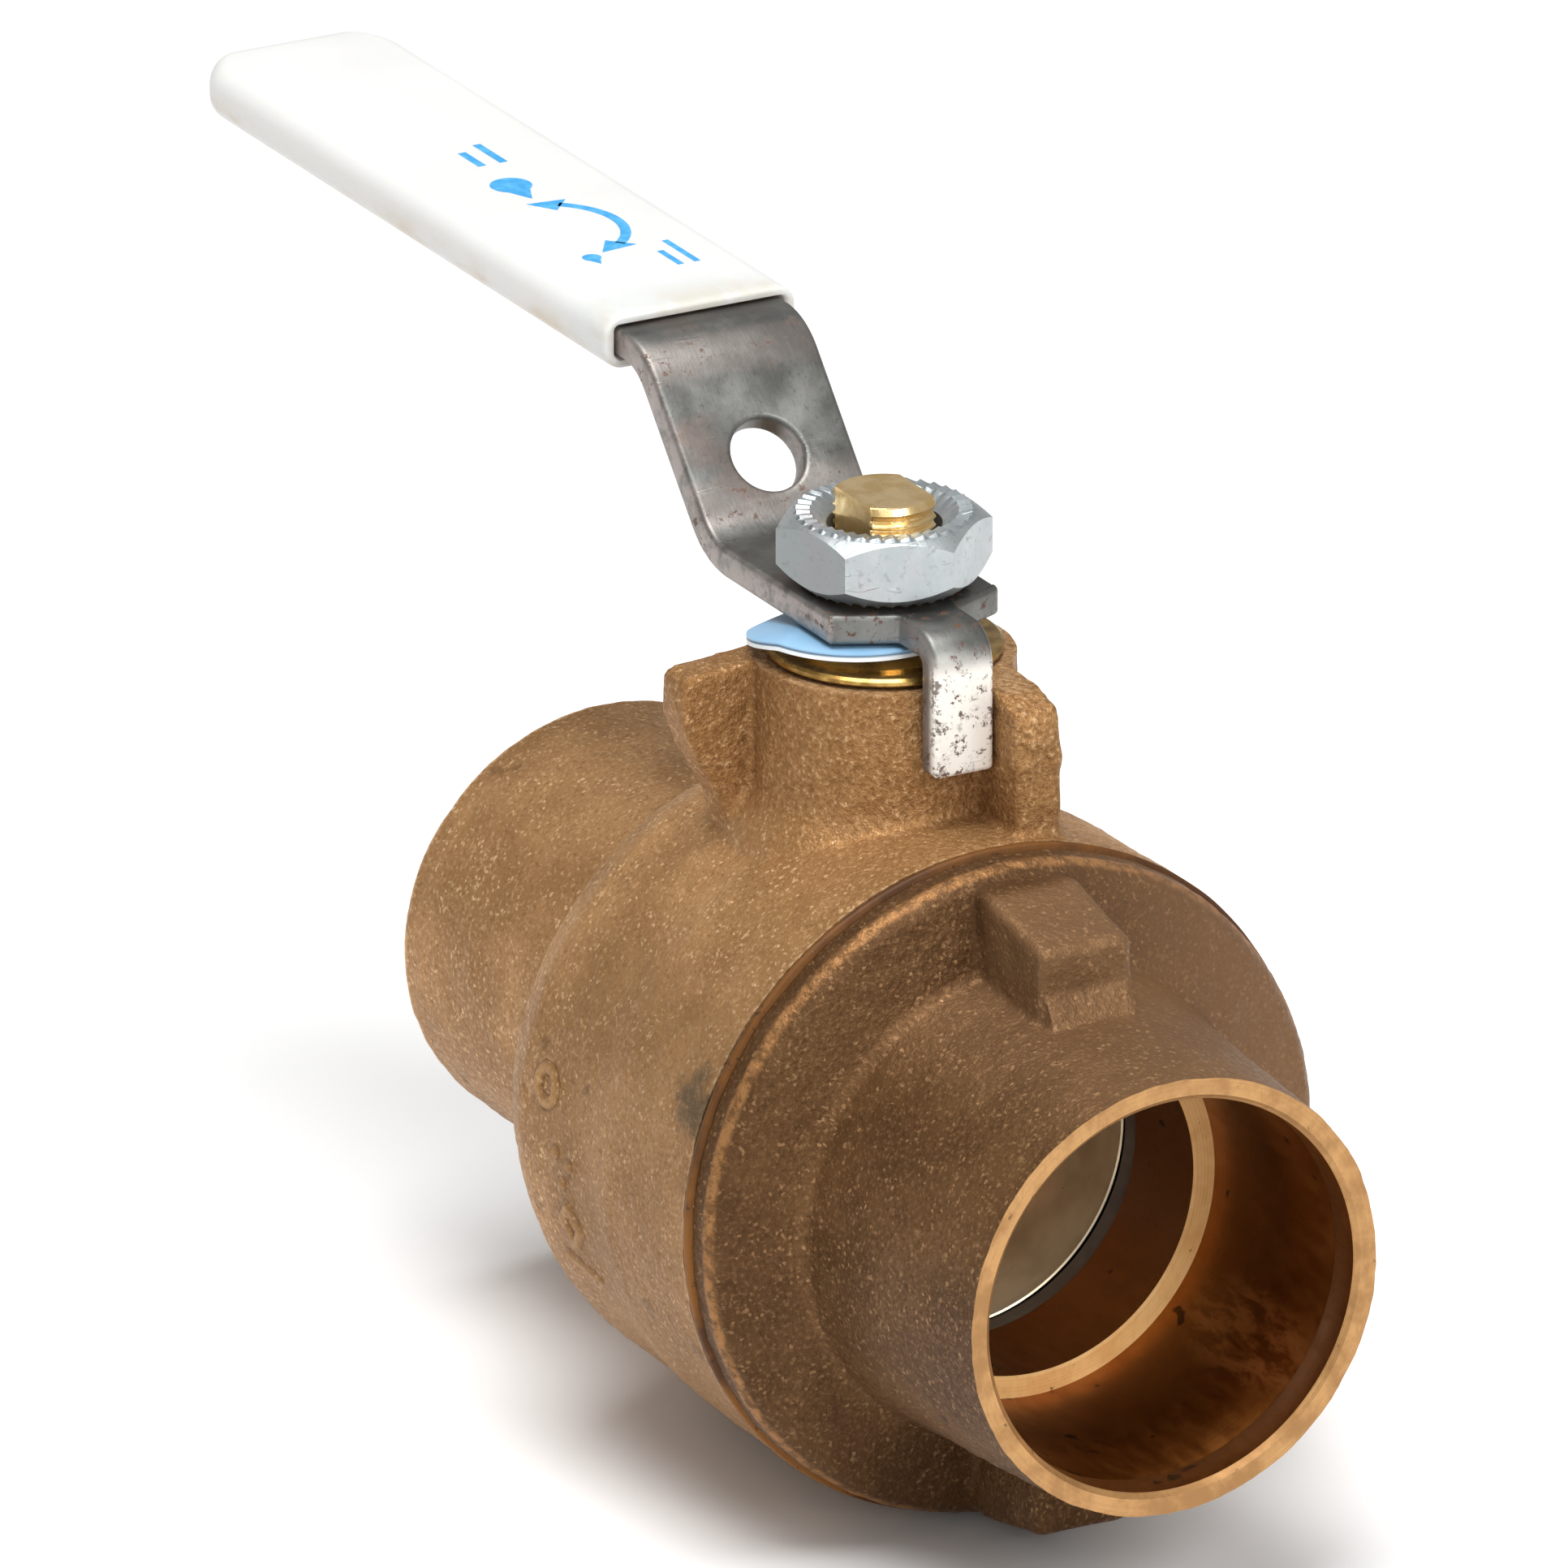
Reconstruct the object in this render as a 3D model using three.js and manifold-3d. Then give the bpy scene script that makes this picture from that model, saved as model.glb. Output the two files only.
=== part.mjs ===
// Two-piece bronze ball valve with solder cups and a steel lever, in millimetres.
// Origin: where the pipe axis meets the stem axis. +X: pipe axis, towards the end retainer.
// +Z: stem axis, upwards. The valve is open, so the lever lies along the pipe towards -X.

import * as THREE from 'three';
import { mergeVertices } from 'three/addons/utils/BufferGeometryUtils.js';
import Module from 'manifold-3d';

const wasm = await Module();
wasm.setup();

// Pipe ends
const halfLength = 59.8;
const cupOuter = 22.9;
const cupBore = 20.7;
const cupDepth = 28.6;
const portRadius = 18.4;
const mouthChamfer = 0.6;
const stopFace = halfLength - cupDepth;

// Ball and its chamber
const ballRadius = 24.6;
const seatSphere = ballRadius + 0.3;
const chamberRadius = 26.5;
const seatPocketRadius = 24.3;
const seatPocketEnd = 20.5;
const seatOuter = seatPocketRadius - 0.3;
const seatBack = seatPocketEnd - 0.3;
const seatFront = 11.5;

// Body and retainer joint
const bodyRadius = 35.2;
const bodyFace = 22.4;
const threadBore = 29.0;
const threadStart = 8.0;
const spigotRadius = threadBore - 0.3;
const spigotEnd = 9.0;
const sealBack = bodyFace + 0.3;
const sealThick = 0.8;
const sealInner = 30.0;
const sealOuter = 35.9;
const flangeBack = sealBack + sealThick + 0.3;
const flangeRadius = 34.8;

// Stem and packing, as heights along +Z
const bossRadius = 13.3;
const bossTop = 48.8;
const stemRadius = 5.5;
const stemBore = stemRadius + 0.4;
const collarRadius = 8.6;
const collarBottom = 25.5;
const collarTop = 28.5;
const bearingBottom = collarTop + 0.3;
const pocketTop = 30.3;
const bearingTop = pocketTop - 0.3;
const packingBore = 8.2;
const packingBottom = 33.0;
const packingHeight = 1.8;
const packingCount = 3;
const glandBore = 10.2;
const glandBottom = 39.5;
const glandSeat = bossTop + 0.3;
const glandTop = 51.2;
const stemTop = 65.7;
const flatStart = 52.3;
const flatHalf = 3.65;
const tongueHalfWidth = 3.0;
const tongueHalfLength = 8.0;
const slotBottom = 20.6;

// Tags, lever, grip and nut
const tagRadius = 11.0;
const tagCentre = [-1.5, -2.4, 0];
const tagStraightEdge = -8.6;
const tagThick = 0.4;
const plateThick = 3.175;
const plateWidth = 19.05;
const plateBottom = 52.8;
const gripLevel = 70.7;
const leverEnd = -127.6;
const riserFoot = -19.6;
const riserHead = -34.2;
const bendRadius = 8.0;
const tangFront = 16.8;
const tangBottom = 40.9;
const tangWidth = 6.7;
const headFront = 9.0;
const headCorner = 6.0;
const gripStart = -38.5;
const gripEnd = -129.5;
const gripWidth = 22.0;
const gripThick = 5.8;
const gripEdge = 1.8;
const nutFlats = 19.05;
const nutBottom = 56.2;
const nutHeight = 7.8;

const around = 48;
const fine = 32;

// Geometry to solid, and back

function solidOf(geometry) {
  const bare = geometry.clone();
  bare.deleteAttribute('normal');
  bare.deleteAttribute('uv');
  const merged = mergeVertices(bare, 1e-4);
  const corners = merged.index.array;
  const kept = [];
  for (let i = 0; i < corners.length; i += 3) {
    const [a, b, c] = [corners[i], corners[i + 1], corners[i + 2]];
    if (a !== b && b !== c && c !== a) kept.push(a, b, c);
  }
  return new wasm.Manifold(new wasm.Mesh({
    numProp: 3,
    vertProperties: new Float32Array(merged.attributes.position.array),
    triVerts: new Uint32Array(kept),
  }));
}

function geometryOf(solid) {
  const mesh = solid.getMesh();
  const geometry = new THREE.BufferGeometry();
  geometry.setAttribute('position', new THREE.BufferAttribute(mesh.vertProperties, 3));
  geometry.setIndex(new THREE.BufferAttribute(mesh.triVerts, 1));
  geometry.computeVertexNormals();
  return geometry;
}

// Solid of revolution. The outline holds [distance along the axis, radius] pairs,
// and runs round a closed loop or starts and ends on the axis.
function revolved(outline, axis, segments = around) {
  const area = outline.reduce((sum, [s, r], i) => {
    const [t, q] = outline[(i + 1) % outline.length];
    return sum + s * q - t * r;
  }, 0);
  const ordered = area > 0 ? [...outline].reverse() : [...outline];
  const onAxis = ordered.some(([, r]) => r === 0);
  if (onAxis) {
    while (ordered[0][1] !== 0 || ordered[ordered.length - 1][1] !== 0) ordered.push(ordered.shift());
  } else {
    ordered.push(ordered[0]);
  }
  const points = ordered.map(([s, r]) => new THREE.Vector2(r, s));
  const lathe = new THREE.LatheGeometry(points, segments);
  if (axis === 'x') lathe.rotateZ(-Math.PI / 2);
  if (axis === 'z') lathe.rotateX(Math.PI / 2);
  return solidOf(lathe);
}

function rod(axis, from, to, radius, segments = fine) {
  return revolved([[from, 0], [from, radius], [to, radius], [to, 0]], axis, segments);
}

function ring(axis, from, to, inner, outer, segments = fine) {
  return revolved([[from, inner], [from, outer], [to, outer], [to, inner]], axis, segments);
}

function block(low, high) {
  const box = new THREE.BoxGeometry(high[0] - low[0], high[1] - low[1], high[2] - low[2]);
  box.translate((low[0] + high[0]) / 2, (low[1] + high[1]) / 2, (low[2] + high[2]) / 2);
  return solidOf(box);
}

// Outline in the X-Z plane, thickened along Y
function sideExtrusion(outline, fromY, toY) {
  const shape = new THREE.Shape(outline.map(([x, z]) => new THREE.Vector2(x, z)));
  const geometry = new THREE.ExtrudeGeometry(shape, { depth: toY - fromY, bevelEnabled: false });
  geometry.rotateX(Math.PI / 2);
  geometry.translate(0, toY, 0);
  return solidOf(geometry);
}

// Outline in the X-Y plane, thickened along Z
function planExtrusion(outline, fromZ, toZ) {
  const shape = outline instanceof THREE.Shape
    ? outline
    : new THREE.Shape(outline.map(([x, y]) => new THREE.Vector2(x, y)));
  const geometry = new THREE.ExtrudeGeometry(shape, {
    depth: toZ - fromZ, bevelEnabled: false, curveSegments: 6,
  });
  geometry.translate(0, 0, fromZ);
  return solidOf(geometry);
}

function regularOutline(sides, acrossFlats, turn) {
  const corner = acrossFlats / 2 / Math.cos(Math.PI / sides);
  return Array.from({ length: sides }, (_, i) => {
    const angle = turn + i * 2 * Math.PI / sides;
    return [corner * Math.cos(angle), corner * Math.sin(angle)];
  });
}

// Side outline of a strip of even thickness that bends round each inner corner
function bentStrip(corners, radii, thickness, arcSteps = 6) {
  const middle = [];
  corners.forEach(([x, z], i) => {
    if (i === 0 || i === corners.length - 1) {
      middle.push(new THREE.Vector2(x, z));
      return;
    }
    const here = new THREE.Vector2(x, z);
    const before = new THREE.Vector2(...corners[i - 1]).sub(here).normalize();
    const after = new THREE.Vector2(...corners[i + 1]).sub(here).normalize();
    const half = before.angleTo(after) / 2;
    const reach = radii[i - 1] / Math.tan(half);
    const centre = before.clone().add(after).normalize().multiplyScalar(radii[i - 1] / Math.sin(half));
    centre.add(here);
    const start = before.multiplyScalar(reach).add(here).sub(centre);
    const end = after.multiplyScalar(reach).add(here).sub(centre);
    const sweep = Math.atan2(start.cross(end), start.dot(end));
    for (let k = 0; k <= arcSteps; k += 1) {
      middle.push(start.clone().rotateAround(new THREE.Vector2(), sweep * k / arcSteps).add(centre));
    }
  });
  const upper = [];
  const lower = [];
  middle.forEach((point, i) => {
    const ahead = middle[Math.min(i + 1, middle.length - 1)];
    const behind = middle[Math.max(i - 1, 0)];
    const side = ahead.clone().sub(behind).normalize().rotateAround(new THREE.Vector2(), Math.PI / 2);
    side.multiplyScalar(thickness / 2);
    upper.push([point.x + side.x, point.y + side.y]);
    lower.unshift([point.x - side.x, point.y - side.y]);
  });
  return [...upper, ...lower];
}

// Pieces of the pressure shell

function bodyCasting() {
  const outline = new THREE.Path();
  outline.moveTo(-halfLength, 0);
  outline.lineTo(-halfLength, cupOuter);
  outline.lineTo(-29.5, cupOuter);
  outline.quadraticCurveTo(-26.3, cupOuter, -24.2, 25.4);
  outline.lineTo(-18.6, 31.4);
  outline.quadraticCurveTo(-16.0, 34.1, -12.5, 34.1);
  outline.lineTo(1.0, 34.3);
  outline.lineTo(6.0, 34.9);
  outline.lineTo(bodyFace, bodyRadius);
  outline.lineTo(bodyFace, 0);
  const barrel = revolved(outline.getPoints(5).map((p) => [p.x, p.y]), 'x');

  const bossOutline = new THREE.Path();
  bossOutline.moveTo(27, 0);
  bossOutline.lineTo(27, 17.5);
  bossOutline.lineTo(32.5, 15.6);
  bossOutline.quadraticCurveTo(34.4, bossRadius, 38, bossRadius);
  bossOutline.lineTo(bossTop - 1, bossRadius);
  bossOutline.lineTo(bossTop, bossRadius - 0.9);
  bossOutline.lineTo(bossTop, 0);
  const boss = revolved(bossOutline.getPoints(4).map((p) => [p.x, p.y]), 'z');

  const openStop = sideExtrusion(
    [[8, 28], [20.9, 28], [20.9, 46.6], [20, 47.8], [15.5, 48.7], [8, 48.7]], 3.7, 8.8,
  );
  const closedStop = planExtrusion(
    [[-8.5, -20.5], [-4.0, -20.5], [-4.0, -8], [-8.5, -8]], 28, 47.4,
  ).subtract(block([-10, -30, 20], [-2, -16, 41.0]).add(
    sideExtrusion([[-10, 28], [-2, 28], [-2, 41.1], [-10, 41.1]], -20.6, -18.2),
  ));

  const waterway = revolved([
    [-halfLength - 1, 0], [-halfLength - 1, cupBore + mouthChamfer],
    [-halfLength, cupBore + mouthChamfer], [-halfLength + mouthChamfer, cupBore],
    [-stopFace, cupBore], [-stopFace, portRadius],
    [-seatPocketEnd, portRadius], [-seatPocketEnd, seatPocketRadius],
    [-seatFront + 0.5, seatPocketRadius], [-seatFront + 0.5, chamberRadius],
    [threadStart, chamberRadius], [threadStart, threadBore],
    [bodyFace + 1, threadBore], [bodyFace + 1, 0],
  ], 'x');
  const stemPassage = revolved([
    [0, 0], [0, collarRadius + 0.4], [pocketTop, collarRadius + 0.4],
    [pocketTop, stemBore], [packingBottom, stemBore],
    [packingBottom, packingBore], [glandBottom, packingBore],
    [glandBottom, glandBore], [bossTop + 1, glandBore], [bossTop + 1, 0],
  ], 'z', fine);
  return barrel.add(boss).add(openStop).add(closedStop).subtract(waterway).subtract(stemPassage);
}

function endRetainer() {
  const outline = new THREE.Path();
  outline.moveTo(spigotEnd, portRadius);
  outline.lineTo(spigotEnd, spigotRadius);
  outline.lineTo(flangeBack, spigotRadius);
  outline.lineTo(flangeBack, flangeRadius);
  outline.lineTo(26.3, flangeRadius);
  outline.lineTo(27.3, 33.8);
  outline.lineTo(30.0, 27.8);
  outline.quadraticCurveTo(31.2, 25.2, 35.0, 24.8);
  outline.lineTo(halfLength, cupOuter);
  outline.lineTo(halfLength, portRadius);
  const shell = revolved(outline.getPoints(4).map((p) => [p.x, p.y]), 'x');

  const lug = [[27, 22], [27, 33.6], [30, 33.6], [41.8, 31.5], [41.8, 22]];
  const upperLug = sideExtrusion(lug, -5.1, 5.1);
  const lowerLug = sideExtrusion(lug.map(([x, z]) => [x, -z]), -5.1, 5.1);

  const cup = revolved([
    [stopFace, 0], [stopFace, cupBore], [halfLength - mouthChamfer, cupBore],
    [halfLength, cupBore + mouthChamfer], [halfLength + 1, cupBore + mouthChamfer], [halfLength + 1, 0],
  ], 'x');
  const seatPocket = rod('x', spigotEnd - 1, seatPocketEnd, seatPocketRadius, around);
  const port = rod('x', 0, halfLength, portRadius, around);
  return shell.add(upperLug).add(lowerLug).subtract(cup).subtract(seatPocket).subtract(port);
}

function bodySeal() {
  return ring('x', sealBack, sealBack + sealThick, sealInner, sealOuter, around);
}

// Seat ring with a face that follows the ball; side is +1 at the retainer, -1 in the body
function seatRing(side) {
  const steps = 6;
  const inner = portRadius + 0.2;
  const lowAngle = Math.asin(inner / seatSphere);
  const highAngle = Math.asin(0.93);
  const face = Array.from({ length: steps + 1 }, (_, i) => {
    const angle = lowAngle + (highAngle - lowAngle) * i / steps;
    return [seatSphere * Math.cos(angle), seatSphere * Math.sin(angle)];
  });
  const outline = [...face, [face[steps][0], seatOuter], [seatBack, seatOuter], [seatBack, inner]];
  return revolved(outline.map(([x, r]) => [side * x, r]), 'x');
}

// Moving pieces

function ball() {
  const arcSteps = 18;
  const portEnd = Math.sqrt(ballRadius ** 2 - portRadius ** 2);
  const limit = Math.acos(portEnd / ballRadius);
  const outline = Array.from({ length: arcSteps + 1 }, (_, i) => {
    const angle = limit + (Math.PI - 2 * limit) * i / arcSteps;
    return [ballRadius * Math.cos(angle), ballRadius * Math.sin(angle)];
  });
  const slot = block(
    [-tongueHalfWidth - 0.3, -ballRadius, slotBottom],
    [tongueHalfWidth + 0.3, ballRadius, ballRadius + 1],
  );
  return revolved(outline, 'x', 40).subtract(slot);
}

function stem() {
  const spindle = revolved([
    [collarBottom, 0], [collarBottom, collarRadius], [collarTop, collarRadius],
    [collarTop, stemRadius], [stemTop - 0.8, stemRadius], [stemTop, stemRadius - 0.8], [stemTop, 0],
  ], 'z', fine);
  const tongue = block(
    [-tongueHalfWidth, -tongueHalfLength, slotBottom + 0.3],
    [tongueHalfWidth, tongueHalfLength, collarBottom + 0.5],
  );
  const above = stemTop + 1;
  const leftFlat = block([-9, -9, flatStart], [9, -flatHalf, above]);
  const rightFlat = block([-9, flatHalf, flatStart], [9, 9, above]);
  return spindle.add(tongue).subtract(leftFlat).subtract(rightFlat);
}

function lever() {
  const middle = plateBottom + plateThick / 2;
  const side = bentStrip(
    [[leverEnd, gripLevel], [riserHead, gripLevel], [riserFoot, middle],
      [tangFront - plateThick / 2, middle], [tangFront - plateThick / 2, tangBottom]],
    [7.0, bendRadius, 2.2],
    plateThick,
  );
  const half = plateWidth / 2;
  const strip = sideExtrusion(side, -half, half);
  const cornerCut = 5;
  const plan = planExtrusion([
    [leverEnd, -half + cornerCut], [leverEnd + cornerCut, -half], [headCorner, -half],
    [headFront, -tangWidth / 2], [tangFront + 1, -tangWidth / 2],
    [tangFront + 1, tangWidth / 2], [headFront, tangWidth / 2], [headCorner, half],
    [leverEnd + cornerCut, half], [leverEnd, half - cornerCut],
  ], tangBottom - 5, gripLevel + 10);

  const stemHole = rod('z', plateBottom - 1, plateBottom + plateThick + 1, stemRadius + 0.35);
  const flatGap = flatHalf + 0.35;
  const flatBand = block([-9, -flatGap, plateBottom - 2], [9, flatGap, plateBottom + plateThick + 2]);

  const riserAngle = Math.atan2(gripLevel - middle, riserFoot - riserHead);
  const hangHole = new THREE.CylinderGeometry(3.95, 3.95, 12, 24);
  hangHole.rotateX(Math.PI / 2);
  hangHole.rotateY(riserAngle);
  hangHole.translate(-25.3, 0, 60.8);
  return strip.intersect(plan).subtract(stemHole.intersect(flatBand)).subtract(solidOf(hangHole));
}

// Sleeve section in the Y-Z plane, rounded at its long edges
function roundedSection(width, height, radius) {
  const [w, h] = [width / 2, height / 2];
  const section = new THREE.Shape();
  section.moveTo(-w + radius, -h);
  section.lineTo(w - radius, -h);
  section.absarc(w - radius, -h + radius, radius, -Math.PI / 2, 0, false);
  section.absarc(w - radius, h - radius, radius, 0, Math.PI / 2, false);
  section.absarc(-w + radius, h - radius, radius, Math.PI / 2, Math.PI, false);
  section.absarc(-w + radius, -h + radius, radius, Math.PI, 3 * Math.PI / 2, false);
  return section;
}

function grip() {
  const length = gripStart - gripEnd;
  const sleeve = new THREE.ExtrudeGeometry(
    roundedSection(gripWidth, gripThick, gripEdge),
    { depth: length, bevelEnabled: false, curveSegments: 4 },
  );
  sleeve.rotateX(Math.PI / 2);
  sleeve.rotateZ(Math.PI / 2);
  sleeve.translate(gripEnd, 0, gripLevel);
  const half = gripWidth / 2;
  const endRadius = 7;
  const plan = new THREE.Shape();
  plan.moveTo(gripStart + 1, -half - 1);
  plan.lineTo(gripStart + 1, half + 1);
  plan.lineTo(gripEnd + endRadius, half + 1);
  plan.lineTo(gripEnd + endRadius, half);
  plan.absarc(gripEnd + endRadius, half - endRadius, endRadius, Math.PI / 2, Math.PI, false);
  plan.absarc(gripEnd + endRadius, endRadius - half, endRadius, Math.PI, 3 * Math.PI / 2, false);
  plan.lineTo(gripEnd + endRadius, -half - 1);
  const gap = 0.3;
  const pocket = block(
    [leverEnd - gap, -plateWidth / 2 - gap, gripLevel - plateThick / 2 - gap],
    [gripStart + 1, plateWidth / 2 + gap, gripLevel + plateThick / 2 + gap],
  );
  return solidOf(sleeve)
    .intersect(planExtrusion(plan, gripLevel - gripThick, gripLevel + gripThick))
    .subtract(pocket);
}

function leverNut() {
  const turn = THREE.MathUtils.degToRad(-109.6);
  const hexagon = planExtrusion(regularOutline(6, nutFlats, turn), nutBottom, nutBottom + nutHeight);
  const top = nutBottom + nutHeight;
  const washerFace = nutFlats / 2 - 0.4;
  const corner = nutFlats / Math.sqrt(3) + 0.2;
  const chamfers = revolved([
    [nutBottom, 0], [nutBottom, washerFace], [nutBottom + 1.2, corner],
    [top - 1.2, corner], [top, washerFace], [top, 0],
  ], 'z', 36);
  const boreRadius = stemRadius + 0.35;
  const bore = revolved([
    [nutBottom - 1, 0], [nutBottom - 1, boreRadius], [top - 0.8, boreRadius],
    [top + 0.2, boreRadius + 1], [top + 0.2, 0],
  ], 'z', fine);
  return hexagon.intersect(chamfers).subtract(bore);
}

// Stem seals

function packingRing(index) {
  const from = packingBottom + 0.3 + index * (packingHeight + 0.3);
  return ring('z', from, from + packingHeight, stemBore, packingBore - 0.2);
}

function packingGland() {
  const thread = rod('z', glandBottom + 0.3, glandSeat + 0.5, glandBore - 0.3);
  const collar = rod('z', glandSeat, glandSeat + 0.9, 12.0);
  const head = planExtrusion(regularOutline(6, 20.4, Math.PI / 6), glandSeat + 0.5, glandTop);
  return thread.add(collar).add(head).subtract(rod('z', glandBottom, glandTop + 1, stemBore));
}

function tagDisc(bottom) {
  const top = bottom + tagThick;
  return rod('z', bottom, top, tagRadius)
    .translate(tagCentre)
    .subtract(block([-20, -20, bottom - 1], [tagStraightEdge, 20, top + 1]))
    .subtract(rod('z', bottom - 1, top + 1, stemBore));
}

// Materials

const bronze = { color: 0x8a6748, roughness: 0.55, metalness: 0.8 };
const darkBronze = { color: 0x6d4f38, roughness: 0.5, metalness: 0.8 };
const brass = { color: 0xb8964a, roughness: 0.3, metalness: 1.0 };
const steel = { color: 0x8d8f92, roughness: 0.4, metalness: 0.9 };
const zinc = { color: 0xb4bcc2, roughness: 0.35, metalness: 0.9 };
const chrome = { color: 0xb9b2a4, roughness: 0.25, metalness: 1.0 };
const polymer = { color: 0xe6e2d6, roughness: 0.5, metalness: 0.0 };
const amber = { color: 0xa06428, roughness: 0.5, metalness: 0.0 };
const vinyl = { color: 0xe9e8e4, roughness: 0.45, metalness: 0.0 };
const paper = { color: 0xdfe8f2, roughness: 0.4, metalness: 0.0 };

const valve = new THREE.Group();

function place(name, solid, look) {
  const mesh = new THREE.Mesh(geometryOf(solid), new THREE.MeshStandardMaterial(look));
  mesh.name = name;
  valve.add(mesh);
}

place('body_casting', bodyCasting(), bronze);
place('end_retainer', endRetainer(), darkBronze);
place('body_seal_ring', bodySeal(), amber);
place('seat_ring_retainer', seatRing(1), polymer);
place('seat_ring_body', seatRing(-1), polymer);
place('ball', ball(), chrome);
place('stem', stem(), brass);
place('stem_bearing', ring('z', bearingBottom, bearingTop, stemBore, collarRadius), polymer);
for (let i = 0; i < packingCount; i += 1) place(`packing_ring_${i + 1}`, packingRing(i), polymer);
place('packing_gland', packingGland(), brass);
place('tag_disc_lower', tagDisc(glandTop + 0.3), paper);
place('tag_disc_upper', tagDisc(glandTop + 0.3 + tagThick + 0.25), paper);
place('lever', lever(), steel);
place('grip', grip(), vinyl);
place('lever_nut', leverNut(), zinc);

export default valve;
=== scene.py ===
"""Looks of a two-piece bronze ball valve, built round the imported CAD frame.

Shapes are worked out in millimetres in the CAD frame (origin where the pipe axis meets the stem
axis, +X towards the end retainer, +Z up the stem) and turned into metres when a mesh is made.
"""
import math

import bmesh
import bpy
import numpy as np
from mathutils import Matrix, Vector, noise


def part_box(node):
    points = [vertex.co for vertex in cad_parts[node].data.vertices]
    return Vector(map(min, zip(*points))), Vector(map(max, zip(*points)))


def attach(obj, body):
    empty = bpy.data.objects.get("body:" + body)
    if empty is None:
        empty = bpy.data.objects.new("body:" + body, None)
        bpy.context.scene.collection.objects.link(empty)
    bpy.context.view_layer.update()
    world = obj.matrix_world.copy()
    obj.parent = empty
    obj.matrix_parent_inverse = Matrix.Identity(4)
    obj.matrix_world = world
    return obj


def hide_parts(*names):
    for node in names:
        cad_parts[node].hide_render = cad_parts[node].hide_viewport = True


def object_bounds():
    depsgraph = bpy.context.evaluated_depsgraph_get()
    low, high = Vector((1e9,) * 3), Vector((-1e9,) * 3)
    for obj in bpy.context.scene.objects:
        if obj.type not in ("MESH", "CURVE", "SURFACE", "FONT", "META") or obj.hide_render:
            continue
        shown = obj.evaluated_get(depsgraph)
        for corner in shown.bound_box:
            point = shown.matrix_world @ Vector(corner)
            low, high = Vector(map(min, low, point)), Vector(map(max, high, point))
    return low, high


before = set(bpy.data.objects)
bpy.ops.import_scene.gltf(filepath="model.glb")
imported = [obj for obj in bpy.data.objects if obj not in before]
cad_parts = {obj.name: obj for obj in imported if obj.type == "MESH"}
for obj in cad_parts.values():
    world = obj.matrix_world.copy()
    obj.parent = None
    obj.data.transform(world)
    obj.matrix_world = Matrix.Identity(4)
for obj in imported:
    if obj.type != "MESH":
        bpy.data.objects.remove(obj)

CAD_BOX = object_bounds()
MM = 0.001

BODY = "valve_body"
LEVER_SET = "lever_set"
BALL_SET = "ball_set"


def cad(node, corner, axis):
    """One coordinate, in mm, of a CAD node's lowest (0) or highest (1) corner."""
    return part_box(node)[corner][axis] / MM


# Pipe ends
REAR_END = cad("body_casting", 0, 0)
FRONT_END = cad("end_retainer", 1, 0)
CUP_OUTER = 22.9
CUP_BORE = 20.7
CUP_DEPTH = 28.6
PORT = 18.4
MOUTH_CHAMFER = 0.55
STOP = FRONT_END - CUP_DEPTH

# Ball chamber and joint
CHAMBER = 26.5
SEAT_POCKET = 24.3
SEAT_POCKET_END = 20.5
THREAD_BORE = 29.0
THREAD_START = 8.0
BODY_FACE = 22.4
BODY_RADIUS = 35.2
SEAL_BACK = cad("body_seal_ring", 0, 0)
SEAL_FRONT = cad("body_seal_ring", 1, 0)
SEAL_OUTER = cad("body_seal_ring", 1, 1)
FLANGE_BACK = SEAL_FRONT + 0.3
FLANGE = cad("end_retainer", 1, 1)
BALL = cad("ball", 1, 1)

# Stem group
BOSS = 13.3
BOSS_TOP = 48.8
STEM = 5.5
STEM_TOP = cad("stem", 1, 2)
FLAT_START = 52.3
FLAT_HALF = 3.65
GLAND_SEAT = BOSS_TOP + 0.3
GLAND_TOP = cad("packing_gland", 1, 2)

TAG_RADIUS = 11.0
TAG_CENTRE = (-1.5, -2.4)
TAG_STRAIGHT_EDGE = -8.6

# Lever group
PLATE = 3.175
PLATE_WIDTH = cad("lever", 1, 1) * 2
PLATE_BOTTOM = 52.8
PLATE_MIDDLE = PLATE_BOTTOM + PLATE / 2
GRIP_LEVEL = (cad("grip", 0, 2) + cad("grip", 1, 2)) / 2
GRIP_START = cad("grip", 1, 0)
GRIP_END = cad("grip", 0, 0)
GRIP_HALF_WIDTH = cad("grip", 1, 1)
GRIP_HALF_THICK = (cad("grip", 1, 2) - cad("grip", 0, 2)) / 2
LEVER_END = cad("lever", 0, 0)
TANG_FRONT = cad("lever", 1, 0)
TANG_BOTTOM = cad("lever", 0, 2)
TANG_WIDTH = 6.7
HEAD_FRONT = 9.0
HEAD_CORNER = 6.0
RISER_FOOT = -19.6
RISER_HEAD = -34.2
NUT_FLATS = 19.05
NUT_TURN = math.radians(-109.6)
NUT_BOTTOM = cad("lever_nut", 0, 2)
NUT_TOP = cad("lever_nut", 1, 2)


# ---------------------------------------------------------------- mesh tools

def new_object(name, points, faces, crease=30.0):
    """Mesh object from points in mm, with outward faces, and edges sharper than crease kept sharp."""
    mesh = bpy.data.meshes.new(name)
    mesh.from_pydata((np.asarray(points, float) * MM).tolist(), [], faces)
    work = bmesh.new()
    work.from_mesh(mesh)
    bmesh.ops.remove_doubles(work, verts=work.verts, dist=1e-7)
    bmesh.ops.recalc_face_normals(work, faces=work.faces)
    work.to_mesh(mesh)
    work.free()
    obj = bpy.data.objects.new(name, mesh)
    bpy.context.scene.collection.objects.link(obj)
    shade(obj, crease)
    return obj


def shade(obj, crease):
    obj.data.shade_smooth()
    obj.data.set_sharp_from_angle(angle=math.radians(crease))


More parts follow.
